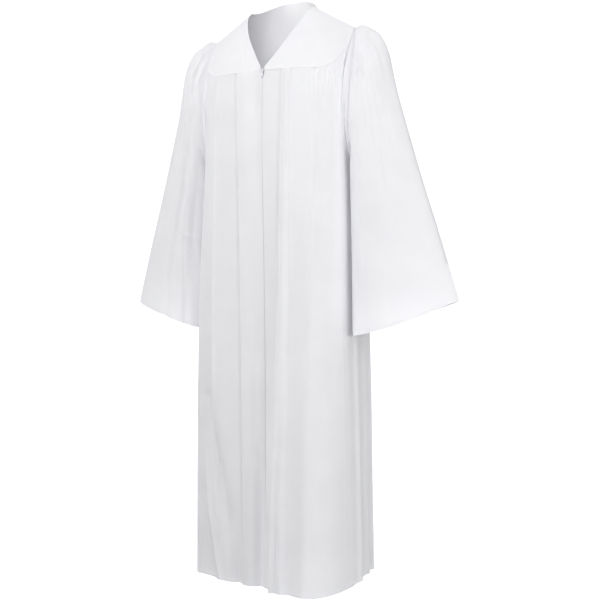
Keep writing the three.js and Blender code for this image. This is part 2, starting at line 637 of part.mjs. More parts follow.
function geometryOf(solid) {
  const made = solid.getMesh();
  const geometry = new THREE.BufferGeometry();
  geometry.setAttribute("position", new THREE.Float32BufferAttribute(made.vertProperties, 3));
  geometry.setIndex([...made.triVerts]);
  geometry.computeVertexNormals();
  return geometry;
}

// An outline seen from the front, given its depth about one y
function frontOutline(shape, deep, y) {
  const geometry = new THREE.ExtrudeGeometry(shape, { depth: deep, bevelEnabled: false, curveSegments: 6 });
  return geometry.rotateX(Math.PI / 2).translate(0, y + deep / 2, 0);
}

const polygon = (points) => new THREE.Shape(points.map(([a, b]) => new THREE.Vector2(a, b)));

const sliderFront = SLIDER.y - SLIDER.deep / 2;
const hingeY = sliderFront - (BAIL.reach - BAIL.bar) / 2;

// The slider's body is waisted towards the closed chain, and its bail is an arch on the front plate
function sliderSolid() {
  const { wide, foot, tall, z } = SLIDER;
  const body = polygon([
    [-foot / 2, z - tall / 2], [foot / 2, z - tall / 2], [foot / 2, z - tall / 6], [wide / 2, z + tall / 6],
    [wide / 2, z + tall / 2 - 1], [wide / 2 - 1.5, z + tall / 2], [-wide / 2 + 1.5, z + tall / 2],
    [-wide / 2, z + tall / 2 - 1], [-wide / 2, z + tall / 6], [-foot / 2, z - tall / 6],
  ]);
  const arch = (reach, half) => {
    const upper = [[BAIL.bend * reach, BAIL.shoulder * half], [reach, BAIL.crown * half]].reverse();
    const lower = upper.map(([out, up]) => [out, -up]).reverse();
    return [[-BAIL.root, -half], ...lower, ...upper, [-BAIL.root, half]];
  };
  const outer = arch(BAIL.reach, BAIL.tall / 2);
  const inner = arch(BAIL.reach - BAIL.bar, BAIL.tall / 2 - BAIL.bar).reverse();
  const profile = new THREE.ExtrudeGeometry(polygon([...outer, ...inner]), { depth: BAIL.thick, bevelEnabled: false });
  const turned = new THREE.Matrix4().set(0, 0, -1, BAIL.thick / 2, -1, 0, 0, sliderFront, 0, 1, 0, BAIL.z, 0, 0, 0, 1);
  const bail = solidOf(profile.applyMatrix4(turned));
  return geometryOf(solidOf(frontOutline(body, SLIDER.deep, SLIDER.y)).add(bail));
}

// The pull tab hangs from the bail by the bar above its window
function tabSolid() {
  const half = TAB.wide / 2;
  const top = BAIL.z + TAB.bar / 2;
  const foot = BAIL.z - TAB.long;
  const outline = new THREE.Shape();
  outline.moveTo(-half, foot + half).absarc(0, foot + half, half, Math.PI, 2 * Math.PI, false);
  outline.lineTo(half - 0.4, top).lineTo(-half + 0.4, top).closePath();
  const hole = half - TAB.rail;
  outline.holes.push(new THREE.Path([
    new THREE.Vector2(-hole, top - TAB.bar), new THREE.Vector2(-hole, top - TAB.bar - TAB.window),
    new THREE.Vector2(hole, top - TAB.bar - TAB.window), new THREE.Vector2(hole, top - TAB.bar),
  ]));
  return geometryOf(solidOf(frontOutline(outline, TAB.thick, hingeY)));
}

for (const side of ["right", "left"]) {
  addSheet("yoke_front_" + side, yokeFrontRows(side));
  addSheet("front_" + side, frontRows(side));
}
addSheet("yoke_back", yokeBackRows());
addSheet("back", backRows());
for (const side of ["right", "left"]) {
  addSheet("sleeve_" + side, sleeveRows(side), { family: side, topGap: SLEEVE_GAP, closed: true });
}

const robe = new THREE.Group();
for (const sheet of sheets) robe.add(mesh(sheet.name, wallOf(sheet), WHITE));
const tapeEdge = CHAIN_HALF + CHAIN_TO_TAPE;
robe.add(mesh("zip_tape_left", zipStrip(tapeEdge, tapeEdge + TAPE_WIDE, TAPE_THICK), ZIP_WHITE));
robe.add(mesh("zip_tape_right", zipStrip(-tapeEdge - TAPE_WIDE, -tapeEdge, TAPE_THICK), ZIP_WHITE));
robe.add(mesh("zip_chain", zipStrip(-CHAIN_HALF, CHAIN_HALF, CHAIN_THICK), ZIP_WHITE, 0.5));
robe.add(mesh("zip_slider", sliderSolid(), PULL_WHITE, 0.4, 0.6));
robe.add(mesh("zip_pull", tabSolid(), PULL_WHITE, 0.4, 0.6));

export default robe;
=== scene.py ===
# A full-length choir robe in its worn form, empty. Each cut piece is a thin sheet of cloth on its solid's
# form. Tables are in millimetres, meshes in metres. +X is the wearer's left, -Y the front, +Z up.
import math

import bmesh
import bpy
import numpy as np
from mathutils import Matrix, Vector


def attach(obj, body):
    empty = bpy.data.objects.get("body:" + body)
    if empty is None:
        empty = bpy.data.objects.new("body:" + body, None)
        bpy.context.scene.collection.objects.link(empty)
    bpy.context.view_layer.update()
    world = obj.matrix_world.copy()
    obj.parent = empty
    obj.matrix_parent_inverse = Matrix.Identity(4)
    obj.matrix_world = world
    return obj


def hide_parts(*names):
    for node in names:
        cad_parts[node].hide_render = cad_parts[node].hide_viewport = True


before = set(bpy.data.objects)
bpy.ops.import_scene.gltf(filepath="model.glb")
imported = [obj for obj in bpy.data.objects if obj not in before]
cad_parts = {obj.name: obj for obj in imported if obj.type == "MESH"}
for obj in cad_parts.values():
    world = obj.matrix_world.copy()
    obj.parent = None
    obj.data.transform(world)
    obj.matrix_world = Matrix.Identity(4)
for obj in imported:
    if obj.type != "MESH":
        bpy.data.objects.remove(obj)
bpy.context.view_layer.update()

MM = 0.001

# The view: level, from the wearer's front left
CAMERA_PLACE = (0.8275, -1.9522, -0.638)
CAMERA_WAY = (-0.3746, 0.9272, 0.0)
CAMERA_LENS = 56.7
CAMERA_SENSOR = 36.0

camera_data = bpy.data.cameras.new("camera")
camera_data.lens = CAMERA_LENS
camera_data.sensor_width = CAMERA_SENSOR
camera = bpy.data.objects.new("camera", camera_data)
bpy.context.scene.collection.objects.link(camera)
camera.location = CAMERA_PLACE
camera.rotation_euler = Vector(CAMERA_WAY).to_track_quat("-Z", "Y").to_euler()
bpy.context.scene.camera = camera

# Driving sizes of the cloth
CLOTH = 1.0  # thickness that shows at an edge
FREE_LEVEL = -360.0  # just below the armholes, where front and back become one tube
HEM_LEVEL = -1255.0
ZIP_SLOT = 4.6  # half width between the front edges beside the slider
ZIP_GROOVE = 0.45  # half width between the front edges below it
PLEAT_TOP = -150.0  # level of the yoke's seam at the zip
SLOT_TOP = -158.0  # where the slot beside the slider starts to narrow
SLOT_FOOT = -172.0  # and where it has narrowed to the groove
LAYER = 2.2  # from one layer of a pressed pleat to the next
SLEEVE_CLEAR = dict(head=8.0, cuff=3.0, settled=0.3)  # between the body's side and the sleeve beside it

# Places round one half of the robe are told by q, which grows from the centre front to the spine
Q = dict(centre=0, panel=1, chest=2, gather=3, tip=4, flank=5, side=6, hip=7, rear=8, blade=9, spine=10)
KNOTS = np.array(list(Q.values()), float)
HANDS = ("left", "right")


def table(columns, rows):
    return dict(zip(columns.split(), np.array(rows, float).T))


# Plan of each half at five heights: x is outwards from the middle
PLAN_COLUMNS = (
    "z centreY panelX panelY chestX chestY gatherX gatherY tipX tipY flankX flankY "
    "sideX sideY hipX hipY rearX rearY bladeX bladeY spineY"
)
PLAN = {}
PLAN["left"] = table(PLAN_COLUMNS, [
    (-360, -118, 75, -117, 111, -108, 140, -90, 160, -58, 163, -22, 163, 14, 162, 54, 150, 96, 88, 121, 124),
    (-600, -108, 75, -112, 110, -110, 141, -92, 163, -58, 167, -20, 167, 20, 165, 66, 151, 108, 88, 128, 130),
    (-850, -101, 73, -116, 109, -119, 144, -96, 167, -52, 171, -13, 171, 28, 167, 78, 153, 118, 86, 136, 138),
    (-1050, -102, 70, -123, 108, -130, 146, -100, 168, -43, 171, 2, 170, 42, 165, 88, 153, 127, 86, 145, 146),
    (-1255, -104, 66, -131, 107, -140, 147, -104, 168, -35, 170, 15, 168, 60, 163, 104, 152, 138, 86, 154, 154),
])
PLAN["right"] = table(PLAN_COLUMNS, [
    (-360, -118, 80, -112, 122, -97, 148, -82, 170, -55, 171, -18, 170, 16, 167, 56, 153, 98, 90, 121, 124),
    (-600, -108, 80, -106, 128, -95, 158, -74, 187, -47, 189, -10, 187, 25, 180, 70, 158, 110, 88, 129, 130),
    (-850, -101, 80, -102, 128, -94, 162, -71, 193, -45, 194, -5, 190, 30, 183, 80, 160, 120, 86, 137, 138),
    (-1050, -102, 84, -97, 126, -86, 162, -65, 195, -44, 195, -2, 191, 36, 183, 88, 160, 128, 86, 145, 146),
    (-1255, -104, 88, -91, 123, -76, 160, -60, 195, -45, 195, 0, 190, 45, 181, 94, 160, 134, 86, 151, 154),
])

# The lines that the pieces are sewn along, alike on both halves
NECK_LINE = table("q x y z", [
    (0, 4.6, -116.5, -141), (1, 23, -100, -112), (2, 49, -78, -65), (3, 66, -50, -26), (3.5, 72, -32, -6),
    (4, 75, -10, 9),
])
NECK_BACK = table("q x y z", [
    (8, 75, -10, 9), (8.4, 72, 12, 15), (8.8, 62, 36, 26), (9.2, 48, 54, 38), (9.6, 27, 68, 48),
    (10, 0, 74, 51),
])
YOKE_FRONT_EDGE = table("q x y z", [
    (0, 4.6, -118, -150), (1, 75, -115, -150), (2, 112, -101, -149.5), (2.5, 130, -91, -147),
    (3, 144, -81, -138), (3.4, 156, -66, -121), (3.7, 164, -43, -96), (4, 168, 0, -45),
])
ARMHOLE = table("q x y z", [
    (4, 168, 0, -45), (4.3, 173, -27, -98), (4.6, 174, -46, -152), (5, 173, -58, -222), (5.5, 171, -46, -298),
    (6, 171.5, 14, -342), (6.5, 170.5, 62, -298), (7, 171, 78, -220), (7.4, 173, 60, -134),
    (7.7, 172, 30, -82), (8, 168, 0, -45),
])
YOKE_BACK_EDGE = table("q x y z", [
    (8, 168, 0, -45), (8.4, 165, 42, -84), (8.8, 152, 78, -120), (9.2, 124, 103, -141), (9.6, 66, 115, -147),
    (10, 0, 118, -148),
])

# How far forward, or back behind the side, the cloth is thrown as it leaves its seam
SPRING = table("q throw", [
    (0, 0), (1, 6), (2, 16), (3, 30), (3.5, 75), (4, 170), (4.3, 150), (4.6, 115), (5, 85), (5.5, 30), (6, 0),
    (6.5, 25), (7, 80), (7.4, 115), (7.7, 150), (8, 170), (8.4, 70), (9, 25), (10, 16),
])
THROW_IN = 0.25  # the share of it that goes towards the middle
LOOK_DOWN = 40.0  # how far below FREE_LEVEL the skirt's direction there is read

# The long pressed pleat of each front: where its fold edge runs, how deep it is, how far it stands proud
PLEAT = dict(
    left=table("z edge under proud drop", [
        (-150, 49, 11, 4.6, 4), (-340, 43, 11, 5, 6), (-600, 35.5, 12, 8, 12), (-830, 27, 13, 13, 20),
        (-1000, 22.5, 14, 17, 24), (-1255, 19, 15, 21, 28),
    ]),
    right=table("z edge under", [(-150, 59, 12), (-600, 55.6, 12), (-1000, 53.6, 12), (-1255, 57, 12)]),
)

FACE_FLAT = 14.0  # the right pleat's face lies flat on its layers this far in from its fold edge
TURN_STEPS = 6  # of a pressed fold's round turn
TURN_EASE = 2.0  # from the turn to the next place across the layer
UNDERLAY = (-9, -5, -2, 0, 2, 4, 6, 9, 13, 17)  # places of the right pleat's lowest layer, from its fold edge
CROWN = dict(high=0.6, past=1.0)  # how the left pleat's face bulges, and how far past its root it ends

# Folds of a half's panels: q at the seam and at the hem, half width in q, and how far the ridge stands out
# at four depths below the seam
FOLD_COLUMNS = "top foot wide seam chest waist hem"
FOLDS = {}
FOLDS["left"] = table(FOLD_COLUMNS, [
    (2.02, 1.94, 0.17, 4, 3, 1.5, 0),
    (2.46, 2.6, 0.11, 1.6, 0.4, 0, 0),
    (2.78, 2.7, 0.1, 3, 1.2, 0, 0),
    (3.02, 3.02, 0.09, 2.2, 0.5, 0, 0),
    (3.26, 3.34, 0.1, 4, 1.6, 0.5, 0),
    (3.5, 3.62, 0.07, 3, 0.6, 0, 0),
    (3.68, 3.84, 0.07, 4.2, 2, 1.2, 1),
    (3.86, 4.04, 0.06, 3.4, 1, 0, 0),
    (5.5, 5.2, 0.3, 0, 0, 3, 7),
    (6.7, 6.6, 0.3, 0, 0, 3, 8),
    (7.7, 7.5, 0.3, 1, 4, 6, 11),
    (8.24, 8.3, 0.1, 3.4, 3, 2, 5),
    (8.56, 8.62, 0.12, 3.8, 1.6, 1, 2),
    (8.9, 8.92, 0.1, 3, 3, 4, 9),
    (9.16, 9.22, 0.13, 3.6, 1.2, 0, 2),
    (9.5, 9.5, 0.1, 3.4, 3.2, 5, 10),
    (9.82, 9.78, 0.09, 2.6, 1.4, 1, 2),
])
FOLDS["right"] = table(FOLD_COLUMNS, [
    (2.05, 2, 0.14, 2, 4, 5, 2),
    (2.44, 2.56, 0.1, 2, 0.6, 0, 0),
    (2.74, 2.8, 0.11, 3.2, 1.4, 0, 0),
    (3, 3.06, 0.09, 3, 1, 1, 2),
    (3.26, 3.34, 0.1, 4, 1.6, 0, 0),
    (3.52, 3.62, 0.08, 3.4, 1.4, 1.5, 6),
    (3.76, 3.9, 0.08, 4, 1.2, 0, 0),
    (5.4, 5.3, 0.3, 0, 0, 3, 6),
    (6.6, 6.7, 0.3, 0, 0, 4, 8),
    (7.6, 7.6, 0.3, 1, 4, 5, 10),
    (8.26, 8.3, 0.11, 3.2, 1.6, 1, 3),
    (8.54, 8.58, 0.1, 3.6, 3.2, 4, 9),
    (8.86, 8.9, 0.13, 3.6, 1.4, 0, 2),
    (9.2, 9.18, 0.1, 3, 3, 5, 9),
    (9.5, 9.52, 0.11, 3.6, 1.2, 1, 2),
    (9.82, 9.8, 0.09, 2.8, 2.6, 4, 8),
])
FOLD_DEPTHS = (0.1, 0.5, 1, 2)  # where the four heights of a fold hold: 0 is the seam, 2 the hem
# The gathers between these places are drawn softer than the solid's
GATHERS = dict(first=2.4, last=3.9, kept=0.45)

# Sections of a sleeve from the armhole to the cuff: its outer fold, its inner edge beside the body,
# and how deep it is in front of and behind the chord between them
SLEEVE = table("along outerX outerY outerZ innerY innerZ front back nose", [
    (0, 168, 0, -45, 14, -342, 60, 66, 0.5),
    (0.06, 184, 0, -41, 13, -348, 66, 68, 0.5),
    (0.13, 204, 1, -50, 12, -356, 70, 68, 0.5),
    (0.21, 226, 2, -68, 11, -368, 72, 67, 0.5),
    (0.29, 242, 4, -101, 10, -384, 73, 66, 0.5),
    (0.37, 253, 7, -155, 9, -408, 73, 64, 0.5),
    (0.46, 266, 11, -209, 8, -440, 73, 62, 0.52),
    (0.62, 308, 18, -360, 8, -530, 76, 58, 0.55),
    (0.8, 350, 25, -500, 7, -625, 81, 54, 0.58),
    (1, 390, 32, -640, 6, -716, 86, 50, 0.6),
])
SLEEVE_INNER_ROUND = 0.3  # roundness of the sleeve's inner edge
HEAD_BLEND = 0.24  # how far along the armhole's own shape is felt
HEAD_TURN = 0.12  # how far along the sleeve goes before it is clear of the body
CUFF_RISE = dict(left=0, right=14)  # the wearer's right cuff hangs a little shorter at its inner edge
HEM_DROP = dict(left=12, right=-2)  # how much lower the front layer's hem hangs, halfway across
FRONT_FULL = dict(left=1, right=0.82)  # and its front layer is a little flatter
SLEEVE_SPREAD = 0.75  # how the places round a sleeve spread away from its outer fold by the cuff

# Folds of a sleeve: place round it (0 is the outer fold, 1 the inner edge, minus behind), half width,
# and heights at the head, upper arm, elbow and cuff
SLEEVE_FOLD_COLUMNS = "place wide head arm elbow hem"
SLEEVE_FOLDS = {}
SLEEVE_FOLDS["left"] = table(SLEEVE_FOLD_COLUMNS, [
    (0.05, 0.03, 5, 1, 0, 0),
    (0.13, 0.034, 7, 4, 0, 0),
    (0.22, 0.034, 6, 3, 1, 0),
    (0.31, 0.045, 7, 4, 1, 0),
    (0.44, 0.05, 4, 2, 1, 1),
    (0.82, 0.07, 0, 3, 3, 2),
    (-0.07, 0.033, 5, 2, 0, 0),
    (-0.16, 0.036, 7, 4, 1, 0),
    (-0.26, 0.045, 5, 4, 3, 3),
    (-0.5, 0.08, 1, 3, 4, 5),
])
SLEEVE_FOLDS["right"] = table(SLEEVE_FOLD_COLUMNS, [
    (0.05, 0.03, 4, 1, 0, 0),
    (0.13, 0.034, 6, 3, 0, 0),
    (0.23, 0.036, 7, 4, 0, 0),
    (0.34, 0.045, 5, 3, 1, 0),
    (0.5, 0.07, 6, 9, 8, 6),
    (0.82, 0.06, 0, 2, 3, 3),
    (-0.07, 0.033, 5, 2, 0, 0),
    (-0.16, 0.036, 6, 5, 1, 0),
    (-0.27, 0.045, 5, 4, 4, 3),
    (-0.5, 0.08, 1, 3, 4, 5),
])
SLEEVE_FOLD_PLACES = (0.12, 0.3, 0.6, 1)
# In front, those past this place are drawn softer too, and are full again so far along
HEAD_GATHERS = dict(first=0.1, kept=0.3, full=0.6)


def lerp(a, b, t):
    return a + (b - a) * t


def ease(t):
    t = np.clip(t, 0, 1)
    return t * t * (3 - 2 * t)


def weights(knots, at):
    """How much the value at each knot counts at each place, on a smooth curve through them all"""
    knots = np.asarray(knots, float)
    at = np.asarray(at, float)
    last = len(knots) - 1
    way = np.sign(knots[last] - knots[0])
    i = np.clip(np.searchsorted(way * knots, way * at.ravel(), side="left") - 1, 0, last - 1)
    span = knots[i + 1] - knots[i]
    t = np.clip((at.ravel() - knots[i]) / span, 0, 1)
    back = 1 - t
    share = np.zeros((t.size, last + 1))
    each = np.arange(t.size)

    def add_slope(k, amount):
        before, after = np.maximum(k - 1, 0), np.minimum(k + 1, last)
        amount = amount / (knots[after] - knots[before])
        share[each, after] += amount
        share[each, before] -= amount

    share[each, i] += (1 + 2 * t) * back * back
    share[each, i + 1] += t * t * (3 - 2 * t)
    add_slope(i, span * t * back * back)
    add_slope(i + 1, -span * t * t * back)
    return share.reshape(at.shape + (last + 1,))


def read(rows, by, column, at):
    return weights(rows[by], at) @ rows[column]


def read_point(rows, by, at):
    share = weights(rows[by], at)
    return np.stack([share @ rows[axis] for axis in "xyz"], axis=-1)


def plan_point(side, q, z):
    rows = PLAN[side]
    by_height = weights(rows["z"], z)
    middle = np.zeros(by_height.shape[:-1])
    round_it = weights(KNOTS, q)
    lines = {}
    for axis in "XY":
        found = [by_height @ rows[name + axis] if name + axis in rows else middle for name in Q]
        lines[axis] = np.stack(found, axis=-1)
    return np.stack([(round_it * lines["X"]).sum(-1), (round_it * lines["Y"]).sum(-1), z], axis=-1)


def seam_point(q):
    front, hole, rear = (read_point(rows, "q", q) for rows in (YOKE_FRONT_EDGE, ARMHOLE, YOKE_BACK_EDGE))
    q = q[..., None]
    return np.where(q <= Q["tip"], front, np.where(q <= Q["rear"], hole, rear))


def body_base(side, q, v):
    """The body's middle surface without folds. v is 0 at the seam, 1 at FREE_LEVEL and 2 at the hem"""
    q = np.clip(q, Q["centre"], Q["spine"]).astype(float)
    q, v = np.broadcast_arrays(q, np.clip(v, 0, 2).astype(float))
    lower = plan_point(side, q, lerp(FREE_LEVEL, HEM_LEVEL, v - 1))
    start = seam_point(q)
    free = np.full(q.shape, FREE_LEVEL)
    end = plan_point(side, q, free)
    below = plan_point(side, q, free - LOOK_DOWN)
    end_way = (below - end) * ((FREE_LEVEL - start[..., 2:]) / -LOOK_DOWN)
    thrown = read(SPRING, "q", "throw", q)
    start_way = end - start
    start_way[..., 1] += np.where(q < Q["side"], -thrown, thrown)
    start_way[..., 0] -= THROW_IN * thrown
    v = v[..., None]
    back = 1 - v
    upper = (
        start * (1 + 2 * v) * back * back + start_way * v * back * back
        + end * v * v * (3 - 2 * v) - end_way * v * v * back
    )
    return np.where(v >= 1, lower, upper)


def fold_height(heights, places, at):
    """A fold's height at one depth, from its four heights, rising from nothing at the seam"""
    rising = heights[0] * ease(at / places[0])
    return np.where(at <= places[0], rising, np.maximum(0, weights(places, at) @ np.array(heights)))


def body_relief(side, q, v):
    total = np.zeros(np.broadcast(q, v).shape)
    rows = FOLDS[side]
    for top, foot, wide, *heights in zip(*(rows[name] for name in FOLD_COLUMNS.split())):
        across = (q - lerp(top, foot, v / 2)) / wide
        kept = GATHERS["kept"] if GATHERS["first"] < top < GATHERS["last"] else 1
        total += kept * fold_height(heights, FOLD_DEPTHS, v) * np.exp(-across * across)
    return total


def square_to(down, along):
    facing = np.cross(down, along)
    return facing / np.maximum(np.linalg.norm(facing, axis=-1, keepdims=True), 1e-9)


def body_facing(side, q, v):
    step = 0.01
    along = body_base(side, q + step, v) - body_base(side, q - step, v)
    down = body_base(side, q, v + step) - body_base(side, q, v - step)
    return square_to(down, along)


CREASE_COLUMNS = "x0 z0 x1 z1 x2 z2 wide start middle end"


def crease_relief(rows, x, z):
    """Soft ridges and troughs drawn on a piece. Each runs through three places seen from the front,
    with its half width and its height at each"""
    total = np.zeros(x.shape)
    steps = weights((0, 0.5, 1), np.linspace(0, 1, 17))
    for x0, z0, x1, z1, x2, z2, wide, *heights in zip(*(rows[name] for name in CREASE_COLUMNS.split())):
        path_x, path_z, height = steps @ (x0, x1, x2), steps @ (z0, z1, z2), steps @ np.array(heights)
        near = np.full(x.shape, np.inf)
        high = np.zeros(x.shape)
        for k in range(len(path_x) - 1):
            way_x, way_z = path_x[k + 1] - path_x[k], path_z[k + 1] - path_z[k]
            t = np.clip(((x - path_x[k]) * way_x + (z - path_z[k]) * way_z) / (way_x**2 + way_z**2), 0, 1)
            away = np.hypot(x - path_x[k] - t * way_x, z - path_z[k] - t * way_z)
            closer = away < near
            near = np.where(closer, away, near)
            high = np.where(closer, lerp(height[k], height[k + 1], t), high)
        total += high * np.exp(-((near / wide) ** 2))
    return total


CREASES = {}
CREASES["front_left"] = table(CREASE_COLUMNS, [
    (97, -533, 96, -565, 97, -596, 2.2, 0.2, 1.1, 0.2),
    (113, -146, 112, -212, 111, -323, 3.2, -3, -2.6, 0),
    (119, -146, 118, -176, 117, -215, 3, 1.2, 1, 0),
    (111, -323, 109, -440, 112, -620, 11, -0.6, -1.6, 0),
    (138, -134, 137, -148, 135, -170, 2.6, -1.4, -1, 0),
    (146, -137, 146, -175, 148, -212, 2.6, 1.3, 1.1, 0),
    (147.5, -134, 153, -200, 158, -250, 2.6, -1, -1.2, 0),
    (151, -132, 158.5, -215, 163, -256, 2.8, 1.4, 1.5, 0),
    (166, -125, 165.5, -180, 165, -240, 3, 1.4, 1.2, 0),
    (51, -152, 41.8, -450, 37.2, -636, 1.8, 0.8, 0.9, 0.9),
    (37, -642, 28.6, -850, 21.4, -1262, 2, 0.9, 1, 1.1),
    (45.5, -152, 36.6, -450, 31.8, -640, 3, -1.4, -2, -2.3),
    (31.6, -648, 24.5, -830, 20.5, -980, 3, -2.3, -2.2, -1.5),
    (60, -480, 56, -640, 48, -790, 9, 0, -2, -2.4),
    (48, -790, 37, -1000, 35, -1262, 9, -1, -8, -11),
    (63.5, -150, 57, -340, 51, -640, 2.2, -1, -0.9, -0.4),
    (57.5, -152, 51.5, -340, 45, -640, 2, 0.8, 0.7, 0.4),
    (92, -700, 84, -880, 88, -1080, 20, 0, 2.2, 0.5),
    (120, -900, 128, -1080, 124, -1254, 18, 0, 1.6, 2),
    (150, -560, 147, -760, 152, -980, 9, 0, -2, 0),
])
CREASES["front_right"] = table(CREASE_COLUMNS, [
    (146, -850, 124, -990, 66, -1268, 12, -3, -11, -7),
    (160, -930, 145, -1090, 116, -1262, 10, 1, 9, 5),
    (90, -1000, 84, -1120, 88, -1262, 10, 0, 3, 2),
    (168, -846, 156, -852, 146, -850, 5, 0, -2, -2),
    (15, -985, 13, -1120, 14, -1262, 10, -1, -7, -9),
    (24, -600, 23.5, -800, 23, -980, 7, 0, -2, -2.5),
    (110, -700, 106, -860, 100, -1000, 12, 0, 1.6, 0),
    (67, -150, 65.5, -500, 63.5, -900, 1.8, 0.8, 0.9, 0.7),
    (57, -152, 53.6, -600, 51.8, -1000, 1.7, 0.7, 0.8, 0.8),
    (61.6, -152, 58.2, -600, 56.2, -1000, 2.3, -1.8, -2.3, -2.2),
    (56.2, -1004, 57.6, -1130, 59.6, -1262, 2.3, -2, -2.2, -2.2),
    (96, -300, 92, -460, 95, -640, 14, 0, -1.4, 0),
    (128, -152, 131, -186, 136, -240, 2.4, 1.2, 1, 0),
    (138, -146, 142, -176, 150, -220, 2.2, 1.3, 0.8, 0),
    (170, -205, 157, -250, 150, -310, 4, -1.4, -1.8, 0),
])
CREASES["back_left"] = table(CREASE_COLUMNS, [
    (60, -200, 52, -420, 66, -700, 12, 0, 2, 0),
    (120, -420, 112, -700, 126, -1000, 14, 0, -3, 0),
    (30, -560, 38, -860, 26, -1200, 12, 0, 2.6, 1),
    (86, -640, 92, -900, 84, -1254, 12, 0, -3, -4),
])
CREASES["back_right"] = table(CREASE_COLUMNS, [
    (70, -210, 78, -450, 64, -720, 12, 0, -2, 0),
    (116, -380, 124, -680, 112, -980, 14, 0, 3, 0),
    (44, -520, 36, -840, 48, -1180, 12, 0, -2.4, -1),
    (96, -700, 88, -960, 98, -1254, 12, 0, 3, 3),
])
CREASES["sleeve_left"] = table(CREASE_COLUMNS, [
    (177, -64, 189, -127, 192, -245, 3.6, 1.2, 2.4, 0),
    (181, -62, 204, -122, 209, -225, 4.2, -0.8, -2, 0),
    (185, -60, 219, -122, 230, -245, 4.2, 1.2, 2.2, 0),
    (189, -58, 227, -118, 241, -215, 3.4, -0.8, -1.6, 0),
    (193, -57, 235, -118, 251, -225, 3.6, 1.2, 1.8, 0),
    (230, -245, 244, -380, 262, -520, 12, 0, 1.4, 0),
    (196, -300, 204, -420, 214, -600, 12, 0, -1.2, -0.6),
])
CREASES["sleeve_right"] = table(CREASE_COLUMNS, [
    (177, -87, 189, -140, 182, -188, 3.6, -1.2, -2.8, -1),
    (186, -75, 200, -140, 197, -215, 4, 1.2, 2.2, 0),
    (192, -72, 209, -140, 207, -232, 4, -0.8, -1.8, 0),
    (198, -70, 219, -140, 220, -242, 4.2, 1, 1.8, 0),
    (226, -240, 227, -450, 225, -700, 5, 1.6, 3.6, 2.6),
    (214, -260, 213, -450, 212, -700, 6, -1, -2.6, -2),
    (228, -474, 211, -484, 196, -487, 4, 0.2, 0.9, 0.5),
    (228, -482, 210, -495, 190, -497, 3.2, -0.5, -2.4, -1.2),
    (197, -505, 193, -600, 189, -708, 6, -2, -6, -5),
    (300, -420, 316, -520, 330, -620, 14, 0, -1.2, -0.6),
])
CREASES["sleeve_left_behind"] = table(CREASE_COLUMNS, [
    (224, -240, 240, -420, 256, -620, 12, 0, 2, 1),
    (290, -330, 306, -450, 322, -600, 12, 0, -2, -1),
])
CREASES["sleeve_right_behind"] = table(CREASE_COLUMNS, [
    (216, -260, 236, -430, 250, -640, 12, 0, -2, -1),
    (282, -320, 300, -460, 326, -610, 12, 0, 2, 1),
])
CREASES["yoke_left"] = table(CREASE_COLUMNS, [
    (70, -60, 92, -88, 116, -112, 9, 0, -0.8, 0),
    (96, -30, 120, -46, 148, -60, 8, 0, 0.8, 0),
])
CREASES["yoke_right"] = table(CREASE_COLUMNS, [
    (63, -46, 59, -88, 57, -130, 5, -0.3, -1.4, -0.4),
    (92, -40, 112, -66, 128, -100, 9, 0, 0.9, 0),
])
CREASES["yoke_back"] = table(CREASE_COLUMNS, [
    (40, 20, 52, -40, 48, -110, 10, 0, 0.9, 0),
    (100, -10, 92, -60, 104, -110, 10, 0, -0.9, 0),
])


def front_edge(level):
    return lerp(ZIP_SLOT, ZIP_GROOVE, ease((level - SLOT_TOP) / (SLOT_FOOT - SLOT_TOP)))


def pressed_level(v):
    return np.where(v < 1, lerp(PLEAT_TOP, FREE_LEVEL, v), lerp(FREE_LEVEL, HEM_LEVEL, v - 1))


def pressed_point(side, x, proud, v):
    """A place of the pressed part of a front, told by its distance from the centre and its layer's height"""
    level = pressed_level(v)
    upper = lerp(YOKE_FRONT_EDGE["x"][1], PLAN[side]["panelX"][0], v)
    panel_x = np.where(v < 1, upper, read(PLAN[side], "z", "panelX", level))
    y = body_base(side, x / panel_x, v)[..., 1]
    return np.stack([x, y - proud, level], axis=-1)


def turn(centre_x, centre_height, start, end):
    """The rounded turn of a pressed fold, as places across and heights"""
    return [
        (centre_x + LAYER / 2 * math.cos(a), centre_height + LAYER / 2 * math.sin(a))
        for a in np.radians(np.linspace(start, end, TURN_STEPS + 1))
    ]


